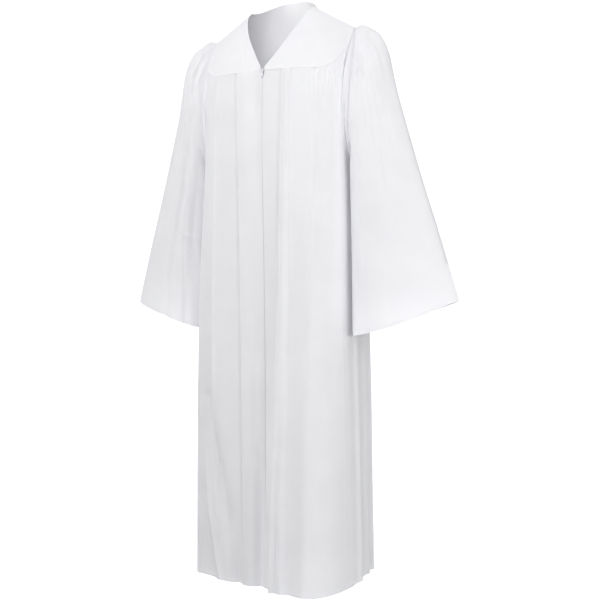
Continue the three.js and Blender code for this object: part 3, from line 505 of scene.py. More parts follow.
def pressed_places(side, v):
    """The places of a front from its zip edge to past its pleat, at depths v: across, and layer height"""
    level = pressed_level(v)
    edge_x = front_edge(level)
    fold = read(PLEAT[side], "z", "edge", level)
    under = read(PLEAT[side], "z", "under", level)
    radius = LAYER / 2
    if side == "right":
        across = [lerp(edge_x, fold - radius, s) for s in np.linspace(0, 1, 30)[:-1]]
        face = [(x, 2 * LAYER * ease(x / (fold - FACE_FLAT))) for x in across]
        root = fold - under
        behind = [(x, LAYER + 0 * fold) for x in (fold - radius - TURN_EASE, root + radius + TURN_EASE)]
        below = [(fold + reach, 0 * fold) for reach in UNDERLAY]
        return [
            *face, *turn(fold - radius, 1.5 * LAYER, 90, -90), *behind,
            *turn(root + radius, 0.5 * LAYER, 90, 270), *below,
        ]
    proud = read(PLEAT["left"], "z", "proud", level)
    drop = read(PLEAT["left"], "z", "drop", level)
    root = fold + under
    strip = [(lerp(edge_x, root - radius, s), 0 * fold) for s in np.linspace(0, 1, 16)[:-1]]
    top = proud - LAYER
    behind = [
        (lerp(root - radius, fold + radius, s), lerp(LAYER, top, s)) for s in np.linspace(0, 1, 6)[1:-1]
    ]
    brink = root + CROWN["past"]
    crown = [
        (lerp(fold + radius, brink, s), proud + CROWN["high"] * math.sin(math.pi * s))
        for s in np.linspace(0, 1, 8)[1:]
    ]
    slope = [(brink + s * drop, proud * (1 - ease(s))) for s in np.linspace(0, 1, 14)[1:]]
    return [
        *strip, *turn(root - radius, radius, -90, 90), *behind,
        *turn(fold + radius, proud - radius, 270, 90), *crown, *slope,
    ]


EDGE_BAND = 9.0  # width of a turned hem
EDGE_RISE = 0.45  # how much prouder its doubled cloth stands
EDGE_FALL = 1.6  # the width over which that ends
STITCH_IN = 1.4  # from the inner edge of a turned band to its stitches
STITCH_DIP = dict(deep=0.5, half=1.1)  # how far the stitches pull in, and its half width


def turned_edge(away, wide=EDGE_BAND, rise=EDGE_RISE):
    """The relief of a doubled and topstitched edge, told by the distance from it"""
    past = away - wide
    doubled = 1 - ease((past + EDGE_FALL / 2) / EDGE_FALL)
    return rise * doubled - STITCH_DIP["deep"] * np.exp(-(((past + STITCH_IN) / STITCH_DIP["half"]) ** 2))


# Depths of the rows, denser at the seam and round the hem's stitching
HEM_ROWS = (0, 1, 2.4, 4.5, 5.8, 6.6, 7.3, 8, 8.8, 9.8, 11.5, 14, 18)
SKIRT_LONG = FREE_LEVEL - HEM_LEVEL
BODY_V = np.concatenate([
    [0, 0.006, 0.013, 0.021, 0.03, 0.04], np.linspace(0.052, 0.36, 26), np.linspace(0.376, 1, 34),
    np.linspace(1.01, 2 - 22 / SKIRT_LONG, 104), [2 - mm / SKIRT_LONG for mm in reversed(HEM_ROWS)],
])
FRONT_Q = np.concatenate([
    np.arange(1.12, 1.9, 0.09), np.arange(1.94, 4.1, 0.024), np.arange(4.12, 5.98, 0.05), [5.995],
])
BACK_HALF_Q = np.concatenate([[6.005], np.arange(6.05, 7.95, 0.055), np.arange(7.98, 9.99, 0.03), [10]])

SEAM_DRAW = 0.15  # half of what still shows between two sewn pieces


def draw_in(points, edge):
    """Brings a grid's sewn edge in by half the width of its seam"""
    a, b = (0, 1) if edge == "top" else (-1, -2)
    moved = points.copy()
    way = points[b] - points[a]
    moved[a] += SEAM_DRAW * way / np.linalg.norm(way, axis=-1, keepdims=True)
    return moved


def to_side(side, points):
    return points * np.array([1.0 if side == "left" else -1.0, 1.0, 1.0])


def front_sheet(side, v=BODY_V):
    """One front as a grid, rows by depth and columns from the zip to the side seam, with its outward ways"""
    v = np.asarray(v, float)
    places = [np.broadcast_arrays(x, height, v)[:2] for x, height in pressed_places(side, v)]
    x = np.stack([place[0] for place in places], axis=1)
    height = np.stack([place[1] for place in places], axis=1)
    deep = np.broadcast_to(v[:, None], x.shape)
    pressed = pressed_point(side, x, height, deep)
    forward = np.broadcast_to(np.array([0.0, -1.0, 0.0]), pressed.shape)
    q, deep = np.meshgrid(FRONT_Q, v)
    panel = body_base(side, q, deep)
    facing = body_facing(side, q, deep)
    panel = panel + body_relief(side, q, deep)[..., None] * facing
    points = np.concatenate([pressed, panel], axis=1)
    ways = np.concatenate([forward, facing], axis=1)
    relief = crease_relief(CREASES["front_" + side], points[..., 0], points[..., 2])
    relief += turned_edge(points[..., 2] - HEM_LEVEL)
    return to_side(side, points + relief[..., None] * ways), to_side(side, ways)


def back_sheet(v=BODY_V):
    v = np.asarray(v, float)
    halves = []
    for side in HANDS:
        q, deep = np.meshgrid(BACK_HALF_Q, v)
        facing = body_facing(side, q, deep)
        points = body_base(side, q, deep) + body_relief(side, q, deep)[..., None] * facing
        relief = crease_relief(CREASES["back_" + side], points[..., 0], points[..., 2])
        relief += turned_edge(points[..., 2] - HEM_LEVEL)
        halves.append((to_side(side, points + relief[..., None] * facing), to_side(side, facing)))
    (left, left_ways), (right, right_ways) = halves
    middle = (left[:, -1] + right[:, -1]) / 2
    left[:, -1] = middle
    return (
        np.concatenate([left, right[:, -2::-1]], axis=1),
        np.concatenate([left_ways, right_ways[:, -2::-1]], axis=1),
    )


YOKE_PUFF = dict(front=2.0, back=9.0)  # how far a yoke bulges between its neck edge and its seam
YOKE_TILT = 0.5  # how much a yoke's outward way leans up
YOKE_SEAM_BAND = 7.0
YOKE_SEAM_RISE = 0.7
YOKE_SEAM_DIP = dict(deep=0.8, half=1.4)  # the seam itself pulls in
NECK_BAND = 7.0
BAND_ROOM = 40.0  # where a yoke is narrower than this, its neck band fades
YOKE_EDGE_ROWS = (0, 0.8, 2, 3.4, 4.6, 5.4, 6.2, 7.2, 8.8)
YOKE_EDGE_ROOM = 24.0  # where a yoke is narrower than this, its edge rows move closer


def yoke_rows(long):
    """Shares of the way from the neck to the seam for every row, packed at both edges"""
    tight = np.minimum(1, long / YOKE_EDGE_ROOM) / long
    neck = [mm * tight for mm in YOKE_EDGE_ROWS]
    seam = [1 - mm * tight for mm in reversed(YOKE_EDGE_ROWS)]
    between = [lerp(neck[-1], seam[0], s) for s in np.linspace(0, 1, 36)[1:-1]]
    return np.stack([*neck, *between, *seam])


def yoke_sheet(neck, side, q, puff, rows):
    top = read_point(neck, "q", q)
    foot = seam_point(q)
    share = rows(np.linalg.norm(foot - top, axis=-1))[..., None]
    points = lerp(top[None], foot[None], share)
    out = np.stack([0 * q, foot[:, 1] + top[:, 1], 0 * q], axis=-1)
    out /= np.linalg.norm(out, axis=-1, keepdims=True)
    out[:, 2] = YOKE_TILT
    out /= np.linalg.norm(out, axis=-1, keepdims=True)
    points = points + (4 * puff[:, None] * share * (1 - share)) * out
    long = np.linalg.norm(foot - top, axis=-1)[None]
    from_neck, from_seam = share[..., 0] * long, (1 - share[..., 0]) * long
    relief = turned_edge(from_neck, NECK_BAND) * ease(long / BAND_ROOM)
    relief = relief + turned_edge(from_seam, YOKE_SEAM_BAND, YOKE_SEAM_RISE)
    relief = relief - YOKE_SEAM_DIP["deep"] * np.exp(-((from_seam / YOKE_SEAM_DIP["half"]) ** 2))
    relief = relief + crease_relief(CREASES["yoke_" + side], points[..., 0], points[..., 2])
    ways = np.broadcast_to(out, points.shape)
    return points + relief[..., None] * ways, ways


def yoke_front_sheet(side, rows=yoke_rows):
    q = np.linspace(0, 4, 90)
    points, ways = yoke_sheet(NECK_LINE, side, q, YOKE_PUFF["front"] * np.sin(math.pi * q / 4), rows)
    return to_side(side, points), to_side(side, ways)


def yoke_back_sheet(rows=yoke_rows):
    q = np.linspace(8, 10, 70)
    puff = YOKE_PUFF["back"] * ease((q - 8) / 1.2)
    points, ways = yoke_sheet(NECK_BACK, "back", q, puff, rows)
    flip = np.array([-1.0, 1.0, 1.0])
    return (
        np.concatenate([points, (points * flip)[:, -2::-1]], axis=1),
        np.concatenate([ways, (ways * flip)[:, -2::-1]], axis=1),
    )


def body_side_x(side, z):
    z = np.minimum(z, FREE_LEVEL)
    rows = PLAN[side]
    by_height = weights(rows["z"], z)
    return np.max([by_height @ rows[name + "X"] for name in Q if name + "X" in rows], axis=0)


def sleeve_section(side, q, along):
    value = {name: read(SLEEVE, "along", name, along) for name in SLEEVE if name != "along"}
    in_front = q <= Q["side"]
    share = np.where(in_front, (q - Q["tip"]) / 2, (Q["rear"] - q) / 2)
    share = np.clip(share, 0, 1) ** lerp(1, SLEEVE_SPREAD, along)
    inner_z = value["innerZ"] + CUFF_RISE[side] * along
    underarm_x = read(ARMHOLE, "q", "x", np.array(float(Q["side"])))
    clear = lerp(SLEEVE_CLEAR["head"], SLEEVE_CLEAR["cuff"], ease(along / SLEEVE_CLEAR["settled"]))
    inner_x = lerp(underarm_x, body_side_x(side, inner_z) + clear, np.clip(along / HEAD_TURN, 0, 1))
    nose = value["nose"]
    peak = nose / (nose + SLEEVE_INNER_ROUND)
    full = peak**nose * (1 - peak) ** SLEEVE_INNER_ROUND
    depth = share**nose * (1 - share) ** SLEEVE_INNER_ROUND / full
    forward = value["front"] * lerp(1, FRONT_FULL[side], ease(along))
    drop = np.where(q < Q["side"], HEM_DROP[side] * np.sin(math.pi * share) * ease(along), 0)
    return np.stack([
        lerp(value["outerX"], inner_x, share),
        lerp(value["outerY"], value["innerY"], share) + depth * np.where(in_front, -forward, value["back"]),
        lerp(value["outerZ"], inner_z, share) - drop,
    ], axis=-1)


def sleeve_base(side, q, along):
    q = np.clip(q, Q["tip"], Q["rear"]).astype(float)
    q, along = np.broadcast_arrays(q, np.clip(along, 0, 1).astype(float))
    points = sleeve_section(side, q, along)
    missing = read_point(ARMHOLE, "q", q) - sleeve_section(side, q, 0 * along)
    return points + missing * (1 - ease(along / HEAD_BLEND))[..., None]


def sleeve_relief(side, q, along):
    around = np.where(q <= Q["side"], (q - Q["tip"]) / 2, -(Q["rear"] - q) / 2)
    total = np.zeros(q.shape)
    rows = SLEEVE_FOLDS[side]
    for place, wide, *heights in zip(*(rows[name] for name in SLEEVE_FOLD_COLUMNS.split())):
        at_head = HEAD_GATHERS["kept"] if place > HEAD_GATHERS["first"] else 1
        kept = lerp(at_head, 1, ease(along / HEAD_GATHERS["full"]))
        across = (around - place) / wide
        total += kept * fold_height(heights, SLEEVE_FOLD_PLACES, along) * np.exp(-across * across)
    return total


SLEEVE_Q = np.concatenate([
    np.arange(4, 5.6, 0.022), np.arange(5.6, 6, 0.04), [6], np.arange(6.04, 6.6, 0.05),
    np.arange(6.6, 8, 0.026),
])
SLEEVE_DOWN = np.concatenate([
    [0, 0.004, 0.009, 0.015, 0.022], np.linspace(0.03, 0.3, 44), np.linspace(0.307, 0.955, 88),
])
CUFF_NEAR = 0.98  # so far along, the cloth's way to the cuff is measured


def sleeve_rows(side):
    """How far along every row is at each place round the sleeve: even, then at set distances from the cuff"""
    ends = [sleeve_base(side, SLEEVE_Q, 0 * SLEEVE_Q + along) for along in (1, CUFF_NEAR)]
    per_mm = (1 - CUFF_NEAR) / np.linalg.norm(ends[0] - ends[1], axis=-1)
    even = np.repeat(SLEEVE_DOWN[:, None], len(SLEEVE_Q), axis=1)
    return np.concatenate([even, [1 - mm * per_mm for mm in reversed(HEM_ROWS)]])


def sleeve_sheet(side, down):
    """One sleeve as a grid of rows from the armhole to the cuff, each closed round the arm"""
    q = np.broadcast_to(SLEEVE_Q, down.shape)
    points = sleeve_base(side, q, down)
    step = 0.01
    round_it = sleeve_base(side, q + step, down) - sleeve_base(side, q - step, down)
    onward = sleeve_base(side, q, down + step) - sleeve_base(side, q, down - step)
    ways = square_to(onward, round_it)
    relief = np.where(q == Q["tip"], 0, sleeve_relief(side, q, down))
    before, behind = (
        crease_relief(CREASES["sleeve_" + side + layer], points[..., 0], points[..., 2])
        for layer in ("", "_behind")
    )
    relief = relief + np.where(q <= Q["side"], before, behind)
    cuff = sleeve_base(side, q, 0 * down + 1)
    relief = relief + turned_edge(np.linalg.norm(cuff - points, axis=-1))
    return to_side(side, points + relief[..., None] * ways), to_side(side, ways)


def grid_faces(rows, columns, closed, flip):
    across = columns if closed else columns - 1
    i, j = np.meshgrid(np.arange(rows - 1), np.arange(across), indexing="ij")
    after = (j + 1) % columns
    corners = [i * columns + j, (i + 1) * columns + j, (i + 1) * columns + after, i * columns + after]
    faces = np.stack(corners, axis=-1).reshape(-1, 4)
    return (faces[:, ::-1] if flip else faces).tolist()


def mesh_object(name, points, faces, unit=MM):
    mesh = bpy.data.meshes.new(name)
    mesh.from_pydata((points * unit).tolist(), [], faces)
    made = bpy.data.objects.new(name, mesh)
    bpy.context.scene.collection.objects.link(made)
    return made


def select_only(obj):
    for other in bpy.context.selected_objects:
        other.select_set(False)
    obj.select_set(True)
    bpy.context.view_layer.objects.active = obj


def apply_modifiers(obj):
    select_only(obj)
    for modifier in list(obj.modifiers):
        bpy.ops.object.modifier_apply(modifier=modifier.name)


def shade(obj, angle=50):
    select_only(obj)
    bpy.ops.object.shade_smooth_by_angle(angle=math.radians(angle))


def cloth_lengths(points, closed):
    """How far along the cloth each column and each row lies, in millimetres, for its weave"""
    wrapped = np.concatenate([points, points[:, :1]], axis=1) if closed else points
    across = np.linalg.norm(np.diff(wrapped, axis=1), axis=-1).mean(axis=0)
    down = np.linalg.norm(np.diff(points, axis=0), axis=-1).mean(axis=1)
    return np.concatenate([[0], np.cumsum(across)]), np.concatenate([[0], np.cumsum(down)])


def add_cloth(name, points, closed=False, flip=False, thick=CLOTH):
    """A sheet of cloth on a grid, given its thickness and a UV map in metres of cloth"""
    rows, columns = points.shape[:2]
    made = mesh_object(name, points.reshape(-1, 3), grid_faces(rows, columns, closed, flip))
    across, down = cloth_lengths(points, closed)
    uv = made.data.uv_layers.new(name="cloth")
    vertex = np.empty(len(made.data.loops), int)
    made.data.loops.foreach_get("vertex_index", vertex)
    row, column = vertex // columns, vertex % columns
    if closed:
        faces = np.arange(len(vertex)) // 4
        on_last = (faces % columns) == columns - 1
        column = np.where(on_last & (column == 0), columns, column)
    places = np.stack([across[column], -down[row]], axis=-1) * MM
    uv.data.foreach_set("uv", places.astype(np.float32).ravel())
    solidify = made.modifiers.new("thickness", "SOLIDIFY")
    solidify.thickness = thick * MM
    solidify.offset = 0
    apply_modifiers(made)
    shade(made)
    return made


# Stitches: one short rounded thread, modelled once and copied along each seam
STITCH_LONG = 2.5
STITCH_PITCH = 3.2
THREAD = 0.28  # half thickness of the thread
THREAD_LIFT = 0.12  # from the cloth's face to the thread's middle
# A stitch from end to end: the place in shares of its length, how full it is, and how far it stands up
STITCH_RINGS = ((-0.5, 0.45, -0.25), (-0.3, 1, 0), (0.3, 1, 0), (0.5, 0.45, -0.25))
SIDES = 6  # of a stitch and of a tooth


def bar_faces(rings):
    """The faces of a closed bar whose rings of points follow each other"""
    faces = []
    for ring in range(rings - 1):
        for k in range(SIDES):
            a, b = ring * SIDES + k, ring * SIDES + (k + 1) % SIDES
            faces.append((a, b, b + SIDES, a + SIDES))
    last = SIDES * (rings - 1)
    return [*faces, tuple(range(SIDES))[::-1], tuple(range(last, last + SIDES))]


def stitch_form():
    angles = np.linspace(0, 2 * math.pi, SIDES, endpoint=False)
    return np.array([
        (along * STITCH_LONG, THREAD * full * math.cos(a), THREAD * full * math.sin(a) + up)
        for along, full, up in STITCH_RINGS for a in angles
    ])


def seam_places(line, ways):
    """Even places along a line for the stitches, each with its direction and its outward way"""
    lengths = np.concatenate([[0], np.cumsum(np.linalg.norm(np.diff(line, axis=0), axis=-1))])
    at = np.arange(STITCH_PITCH / 2, lengths[-1] - STITCH_LONG / 2, STITCH_PITCH)

    def pick(values, places):
        return np.stack([np.interp(places, lengths, values[:, k]) for k in range(3)], axis=-1)

    middle = pick(line, at)
    along = pick(line, at + STITCH_LONG / 2) - pick(line, at - STITCH_LONG / 2)
    along /= np.maximum(np.linalg.norm(along, axis=-1, keepdims=True), 1e-6)
    up = pick(ways, at)
    up -= (up * along).sum(-1, keepdims=True) * along
    up /= np.maximum(np.linalg.norm(up, axis=-1, keepdims=True), 1e-6)
    return middle, along, up


def copies(faces, size, count):
    """The faces of one form, once for each of its copies in a mesh"""
    return [tuple(k + size * n for k in face) for n in range(count) for face in faces]


def add_stitches(name, lines):
    form = stitch_form()
    placed = []
    for line, ways in lines:
        middle, along, up = seam_places(line, ways)
        axes = np.stack([along, np.cross(up, along), up], axis=1)
        placed.append((middle + up * (CLOTH / 2 + THREAD_LIFT))[:, None] + form @ axes)
    points = np.concatenate(placed).reshape(-1, 3)
    faces = copies(bar_faces(len(STITCH_RINGS)), len(form), len(points) // len(form))
    made = mesh_object(name, points, faces)
    tidy_normals(made)
    shade(made, 80)
    return made


def tidy_normals(obj):
    edit = bmesh.new()
    edit.from_mesh(obj.data)
    bmesh.ops.recalc_face_normals(edit, faces=edit.faces)
    edit.to_mesh(obj.data)
    edit.free()


CUFF_STITCH = 7.3  # the row of the cuff that its stitches lie on


def first_row(sheet, closed=False):
    """A line to stitch along: the only row of a sheet, with its outward ways"""
    return [np.concatenate([rows[0], rows[0][:1]]) if closed else rows[0] for rows in sheet]


def hem_line(sheet):
    return first_row(sheet([2 - (EDGE_BAND - STITCH_IN) / SKIRT_LONG]))


def yoke_line(sheet, from_neck):
    def rows(long):
        tight = np.minimum(1, long / YOKE_EDGE_ROOM) / long
        if from_neck:
            return ((NECK_BAND - STITCH_IN) * tight)[None]
        return (1 - (YOKE_SEAM_BAND - STITCH_IN) * tight)[None]

    return first_row(sheet(rows))


def cuff_line(side):
    row = len(SLEEVE_DOWN) + len(HEM_ROWS) - 1 - HEM_ROWS.index(CUFF_STITCH)
    return first_row(sleeve_sheet(side, sleeve_rows(side)[row:row + 1]), closed=True)


pieces = {}


def add_piece(name, sheet, edge, **how):
    points, _ = sheet
    pieces[name] = add_cloth("cloth_" + name, draw_in(points, edge), **how)


for side in HANDS:
    flip = side == "right"
    add_piece("front_" + side, front_sheet(side), "top", flip=flip)
    add_piece("yoke_front_" + side, yoke_front_sheet(side), "foot", flip=flip)
    add_piece("sleeve_" + side, sleeve_sheet(side, sleeve_rows(side)), "top", closed=True, flip=flip)
add_piece("back", back_sheet(), "top")
add_piece("yoke_back", yoke_back_sheet(), "foot")

fronts = [lambda v, side=side: front_sheet(side, v) for side in HANDS]
yokes = [lambda rows, side=side: yoke_front_sheet(side, rows) for side in HANDS]
stitched = {
    "hems": [hem_line(sheet) for sheet in (*fronts, back_sheet)],
    "yokes": [yoke_line(sheet, at_neck) for sheet in (*yokes, yoke_back_sheet) for at_neck in (True, False)],
    "cuffs": [cuff_line(side) for side in HANDS],
}
threads = {name: add_stitches("stitching_" + name, lines) for name, lines in stitched.items()}

# The zip: two woven tapes behind the front edges, and coil teeth that close between them
TAPE_WIDE = 13.0
TAPE_THICK = 0.7
TAPE_BEHIND = 1.6  # from the front's middle surface back to the tape's
TAPE_RIPPLE = dict(high=0.12, per_mm=1.9)
CHAIN_HALF = 2.2
CHAIN_TO_TAPE = 0.3
ZIP_TOP_V = 0.03
ZIP_FOOT_V = 1.69
TOOTH_PITCH = 1.6
TOOTH_HALF = 0.55  # half width of a tooth
TOOTH_REACH = 0.5  # how far a tooth passes the middle
# A tooth from its tape to its rounded head: how far across, and how full it is
TOOTH_RINGS = (
    (-CHAIN_HALF, 0.8), (-1.2, 0.75), (TOOTH_REACH - 0.6, 0.8), (TOOTH_REACH, 1.15), (TOOTH_REACH + 0.5, 0.5),
)


def zip_line(v):
    y = body_base("left", 0 * v, v)[:, 1] + TAPE_BEHIND
    return np.stack([0 * v, y, pressed_level(v)], axis=-1)


def add_tape(side):
    v = np.linspace(ZIP_TOP_V, ZIP_FOOT_V, 120)
    centre = zip_line(v)
    places = np.linspace(CHAIN_HALF + CHAIN_TO_TAPE, CHAIN_HALF + CHAIN_TO_TAPE + TAPE_WIDE, 12)
    ripple = TAPE_RIPPLE["high"] * np.sin(places * TAPE_RIPPLE["per_mm"])
    across = np.stack([places, ripple, 0 * places], axis=-1)
    points = to_side(side, centre[:, None] + across[None])
    return add_cloth("tape_" + side, points, flip=side == "right", thick=TAPE_THICK)


def tooth_form():
    angles = np.radians(np.arange(SIDES) * 360 / SIDES)
    return np.array([
        (x, TOOTH_HALF * full * math.sin(a), TOOTH_HALF * full * math.cos(a))
        for x, full in TOOTH_RINGS for a in angles
    ])


def add_teeth():
    """Both rows of coil teeth, each tooth a copy of one form from its own side"""
    form = tooth_form()
    long = pressed_level(ZIP_TOP_V) - pressed_level(ZIP_FOOT_V)
    count = int(long / TOOTH_PITCH) * 2
    centres = zip_line(np.linspace(ZIP_TOP_V, ZIP_FOOT_V, count + 2))[1:-1]
    placed = np.repeat(form[None], count, axis=0)
    placed[..., 0] *= np.where(np.arange(count) % 2, 1.0, -1.0)[:, None]
    placed += centres[:, None]
    faces = copies(bar_faces(len(TOOTH_RINGS)), len(form), count)
    made = mesh_object("zip_teeth", placed.reshape(-1, 3), faces)
    tidy_normals(made)
    shade(made)
    return made


tapes = {side: add_tape(side) for side in HANDS}
teeth = add_teeth()


# Finishes
def linear(hex_colour):
    """A hex sRGB colour as linear red, green, blue and full alpha"""
    parts = [int(hex_colour[i:i + 2], 16) / 255 for i in (1, 3, 5)]
    return (*[p / 12.92 if p <= 0.04045 else ((p + 0.055) / 1.055) ** 2.4 for p in parts], 1)


def add_node(tree, kind, settings, links=()):
    """Adds a node. A setting is one of its own attributes or an input's value, a link is (input, socket)"""
    made = tree.nodes.new(kind)
    for name, value in settings.items():
        if isinstance(name, str) and hasattr(made, name):
            setattr(made, name, value)
        else:
            made.inputs[name].default_value = value
    for name, socket in links:
        tree.links.new(socket, made.inputs[name])
    return made


def new_finish(name, settings, links=None):
    """A material whose shader has these settings; links takes its node tree and gives the shader's links"""
    made = bpy.data.materials.new(name)
    made.use_nodes = True
    tree = made.node_tree
    tree.nodes.clear()
    joined = links(tree, add_node(tree, "ShaderNodeTexCoord", {}).outputs) if links else ()
    shader = add_node(tree, "ShaderNodeBsdfPrincipled", settings, joined)
    add_node(tree, "ShaderNodeOutputMaterial", {}, [("Surface", shader.outputs["BSDF"])])
    return made


def ramp(tree, source, stops):
    made = add_node(tree, "ShaderNodeValToRGB", {}, [("Fac", source)])
    for element, (place, colour) in zip(made.color_ramp.elements, stops):
        element.position = place
        element.color = linear(colour)
    return made.outputs["Color"]


def per_metre(mm):
    """How often a pattern of this size comes in a metre"""
    return 1000 / mm


# Sizes of the patterns in millimetres. Those too fine to show are drawn coarser than the real ones
YARN = 0.9  # between yarns, really 0.3
SLUB = dict(wide=2.381, long=45.45)  # thick places in the warp, really 0.5 wide and 20 long
UNEVEN = 90.9  # soft unevenness of hanging cloth, at its real size
RIB = 0.952  # between the tape's ribs, really 0.5
WAVE_BANDS = 20 / math.tau  # bands to the unit in a wave texture of scale 1
GRAIN = dict(spun=1 / 3, moulded=10 / 9, enamel=10 / 9)  # really 0.1, 0.05 and 0.1
ROUGH_SPREAD = 0.08  # how far a grain moves the roughness each way


def woven_polyester(name, light, dim):
    """Matte woven polyester. It has no gloss, a faint weave and slubs along the warp, and it hangs softly
    uneven. It is thin and white, so light goes through it and its folds stay pale"""
    def links(tree, place):
        yarns = add_node(
            tree, "ShaderNodeMapping", {"Scale": (per_metre(YARN), per_metre(YARN), 1)},
            [("Vector", place["UV"])],
        )
        parted = add_node(tree, "ShaderNodeSeparateXYZ", {}, [("Vector", yarns.outputs["Vector"])])
        waves = []
        for axis in "XY":
            turned = add_node(
                tree, "ShaderNodeMath", {"operation": "MULTIPLY", 1: math.tau}, [(0, parted.outputs[axis])]
            )
            waves.append(add_node(tree, "ShaderNodeMath", {"operation": "SINE"}, [(0, turned.outputs[0])]))
        weave = add_node(
            tree, "ShaderNodeMath", {"operation": "MULTIPLY"},
            [(k, wave.outputs[0]) for k, wave in enumerate(waves)],
        )
        stretched = add_node(
            tree, "ShaderNodeMapping", {"Scale": (per_metre(SLUB["wide"]), per_metre(SLUB["long"]), 1)},
            [("Vector", place["UV"])],
        )
        slubs = add_node(
            tree, "ShaderNodeTexNoise", {"Scale": 1.0, "Detail": 3.0, "Roughness": 0.6},
            [("Vector", stretched.outputs["Vector"])],
        )
        soft = add_node(
            tree, "ShaderNodeTexNoise", {"Scale": per_metre(UNEVEN), "Detail": 2.5, "Roughness": 0.5},
            [("Vector", place["Object"])],
        )
        relief = []
        for pattern, strength, deep in ((soft, 0.35, 4.0), (slubs, 0.25, 0.3), (weave, 0.25, 0.12)):
            bump = add_node(
                tree, "ShaderNodeBump", {"Strength": strength, "Distance": deep * MM},
                [("Height", pattern.outputs[0]), *relief],
            )
            relief = [("Normal", bump.outputs["Normal"])]
        return [("Base Color", ramp(tree, soft.outputs["Fac"], [(0.3, dim), (0.7, light)])), *relief]

    return new_finish(name, {
        "Roughness": 0.82, "Specular IOR Level": 0.25,
        "Subsurface Weight": 0.8, "Subsurface Radius": (1, 1, 1), "Subsurface Scale": 4.5 * MM,
        "Sheen Weight": 0.12, "Sheen Roughness": 0.5,
    }, links)


def ribbed_tape(name):
    """Woven zip tape. Close ribs along its length break the light into fine lines, and it has no gloss. Its
    colour is painted darker in the grooves between the ribs and lighter on their crests: painted shade and
    light that follow the ribs' relief
    """
    def links(tree, place):
        ribs = add_node(
            tree, "ShaderNodeTexWave",
            {"bands_direction": "X", "Scale": per_metre(RIB) / WAVE_BANDS, "Distortion": 0.2},
            [("Vector", place["UV"])],
        ).outputs["Fac"]
        raised = add_node(tree, "ShaderNodeBump", {"Strength": 0.5, "Distance": 0.2 * MM}, [("Height", ribs)])
        # Painted shade: the tape's colour follows the rib wave, darker in the grooves and lighter on the crests
        tone = ramp(tree, ribs, [(0.0, "#DEDEE3"), (1.0, "#ECECF0")])
        return [("Base Color", tone), ("Normal", raised.outputs["Normal"])]

    return new_finish(name, {"Roughness": 0.75}, links)


def grained(name, colour, roughness, grain):
    """A plain finish whose gloss is broken by a fine grain"""
    def links(tree, place):
        speckle = add_node(
            tree, "ShaderNodeTexNoise", {"Scale": per_metre(grain), "Detail": 2.0},
            [("Vector", place["Object"])],
        ).outputs["Fac"]
        rough = add_node(
            tree, "ShaderNodeMapRange",
            {"To Min": roughness - ROUGH_SPREAD, "To Max": roughness + ROUGH_SPREAD}, [("Value", speckle)],
        )
        raised = add_node(
            tree, "ShaderNodeBump", {"Strength": 0.15, "Distance": 0.1 * MM}, [("Height", speckle)]
        )
        return [("Roughness", rough.outputs["Result"]), ("Normal", raised.outputs["Normal"])]

    return new_finish(name, {"Base Color": linear(colour)}, links)


polyester = woven_polyester("matte white woven polyester", "#F1F1F4", "#EDEDF1")
# Spun thread is a little glossier than the cloth, so each stitch catches a small light
spun_thread = grained("spun polyester thread", "#F4F4F7", 0.65, GRAIN["spun"])
tape_finish = ribbed_tape("woven zip tape")
# Nylon teeth are smooth and half glossy, and look waxy
teeth_finish = grained("moulded nylon teeth", "#E9E9ED", 0.4, GRAIN["moulded"])
# Enamel on cast zinc hides the metal: a hard even coat, greyer than the cloth, with a soft highlight
enamel = grained("grey-white enamelled zinc", "#DADADF", 0.4, GRAIN["enamel"])

for group, finish in ((pieces, polyester), (threads, spun_thread), (tapes, tape_finish)):
    for obj in group.values():
        obj.data.materials.append(finish)
teeth.data.materials.append(teeth_finish)
for name in ("zip_slider", "zip_pull"):
    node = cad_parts[name]
    for slot in node.material_slots:
        slot.material = enamel
    if not node.material_slots:
        node.data.materials.append(enamel)

# The pieces of cloth, the tapes, the rows of stitches and the teeth hang from the robe's body, and the model's
# parts that they replace are hidden
for name, obj in pieces.items():
    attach(obj, "robe")
    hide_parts(name)
for side, obj in tapes.items():
    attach(obj, "robe")
    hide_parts("zip_tape_" + side)
for obj in threads.values():
    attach(obj, "robe")
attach(teeth, "robe")
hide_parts("zip_chain")

# A plain studio: dark floor under the robe, and behind it a white sheet that sweeps up into the backdrop
FLOOR_LEVEL = -2.0  # far enough below the hem that no shadow lies in view
FLOOR = dict(near=-4.0, far=1.9, half=5.0)
SWEEP = dict(bend=2.4, radius=1.4, top=3.2)
ahead = Vector(CAMERA_WAY)
beside = Vector((ahead.y, -ahead.x, 0))


def add_stage(name, profile, colour):
    """A sheet across the view, from its places along the view and its levels"""
    places = np.array([
        ahead * along + beside * across + Vector((0, 0, level))
        for along, level in profile for across in (-FLOOR["half"], FLOOR["half"])
    ])
    faces = [(2 * k, 2 * k + 1, 2 * k + 3, 2 * k + 2) for k in range(len(profile) - 1)]
    made = mesh_object(name, places, faces, unit=1)
    made.data.materials.append(new_finish(name + " paper", {"Base Color": linear(colour), "Roughness": 0.9}))
    shade(made, 40)


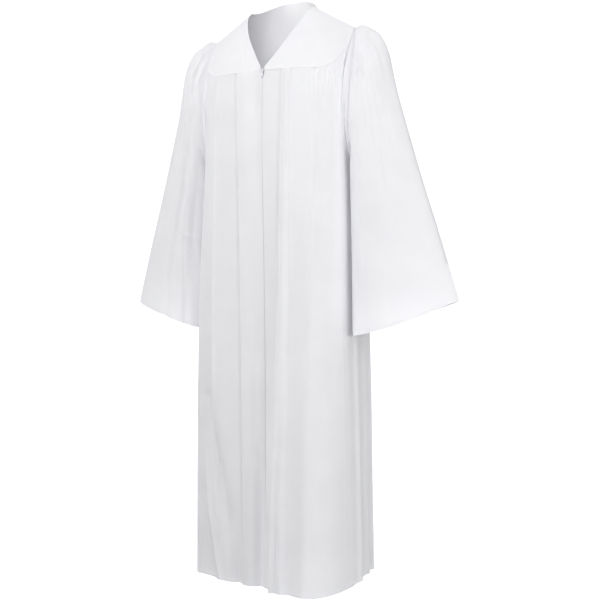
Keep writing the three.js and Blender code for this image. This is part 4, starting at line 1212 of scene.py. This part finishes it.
add_stage("studio_floor", [(FLOOR["near"], FLOOR_LEVEL), (FLOOR["far"], FLOOR_LEVEL)], "#4A4A4D")
add_stage("studio_sweep", [
    (FLOOR["far"], FLOOR_LEVEL),
    *[
        (
            SWEEP["bend"] + SWEEP["radius"] * math.cos(math.radians(a)),
            FLOOR_LEVEL + SWEEP["radius"] * (1 + math.sin(math.radians(a))),
        )
        for a in np.linspace(-90, 0, 17)
    ],
    (SWEEP["bend"] + SWEEP["radius"], SWEEP["top"]),
], "#EDEDEF")

# Soft light: a broad key in front, a weaker fill on each side, one light for the backdrop, and a room that is
# pale above and dark below
scene = bpy.context.scene
scene.view_settings.view_transform = "Standard"
room = bpy.data.worlds.new("pale_room")
room.use_nodes = True
tree = room.node_tree
room_way = add_node(tree, "ShaderNodeTexCoord", {})
room_up = add_node(tree, "ShaderNodeSeparateXYZ", {}, [("Vector", room_way.outputs["Generated"])])
room_height = add_node(
    tree, "ShaderNodeMapRange", {"From Min": -0.6, "From Max": 0.5}, [("Value", room_up.outputs["Z"])]
)
room_tone = ramp(tree, room_height.outputs["Result"], [(0.0, "#38383A"), (1.0, "#FCFCFF")])
background = tree.nodes["Background"]
tree.links.new(room_tone, background.inputs["Color"])
background.inputs["Strength"].default_value = 0.6
scene.world = room


def add_softbox(name, place, towards, size, power):
    """An area light: where it is and what it faces, its size in metres and its power in watts"""
    data = bpy.data.lights.new(name, "AREA")
    data.shape = "RECTANGLE"
    data.size, data.size_y = size
    data.energy = power
    made = bpy.data.objects.new(name, data)
    scene.collection.objects.link(made)
    made.location = place
    made.rotation_euler = (Vector(towards) - Vector(place)).to_track_quat("-Z", "Y").to_euler()


CHEST = Vector((0.0, 0.0, -0.3))
add_softbox("key", (0.45, -2.6, 0.15), CHEST, (1.4, 1.4), 46)
add_softbox("left_fill", (-1.9, -1.7, 0.2), CHEST, (1.4, 1.4), 20)
add_softbox("right_fill", (2.6, -0.7, -0.7), CHEST, (1.6, 1.6), 34)
add_softbox("backdrop_light", CHEST + ahead * 1.2 + Vector((0, 0, 1.4)), CHEST + ahead * 3.4, (4.5, 1.4), 130)
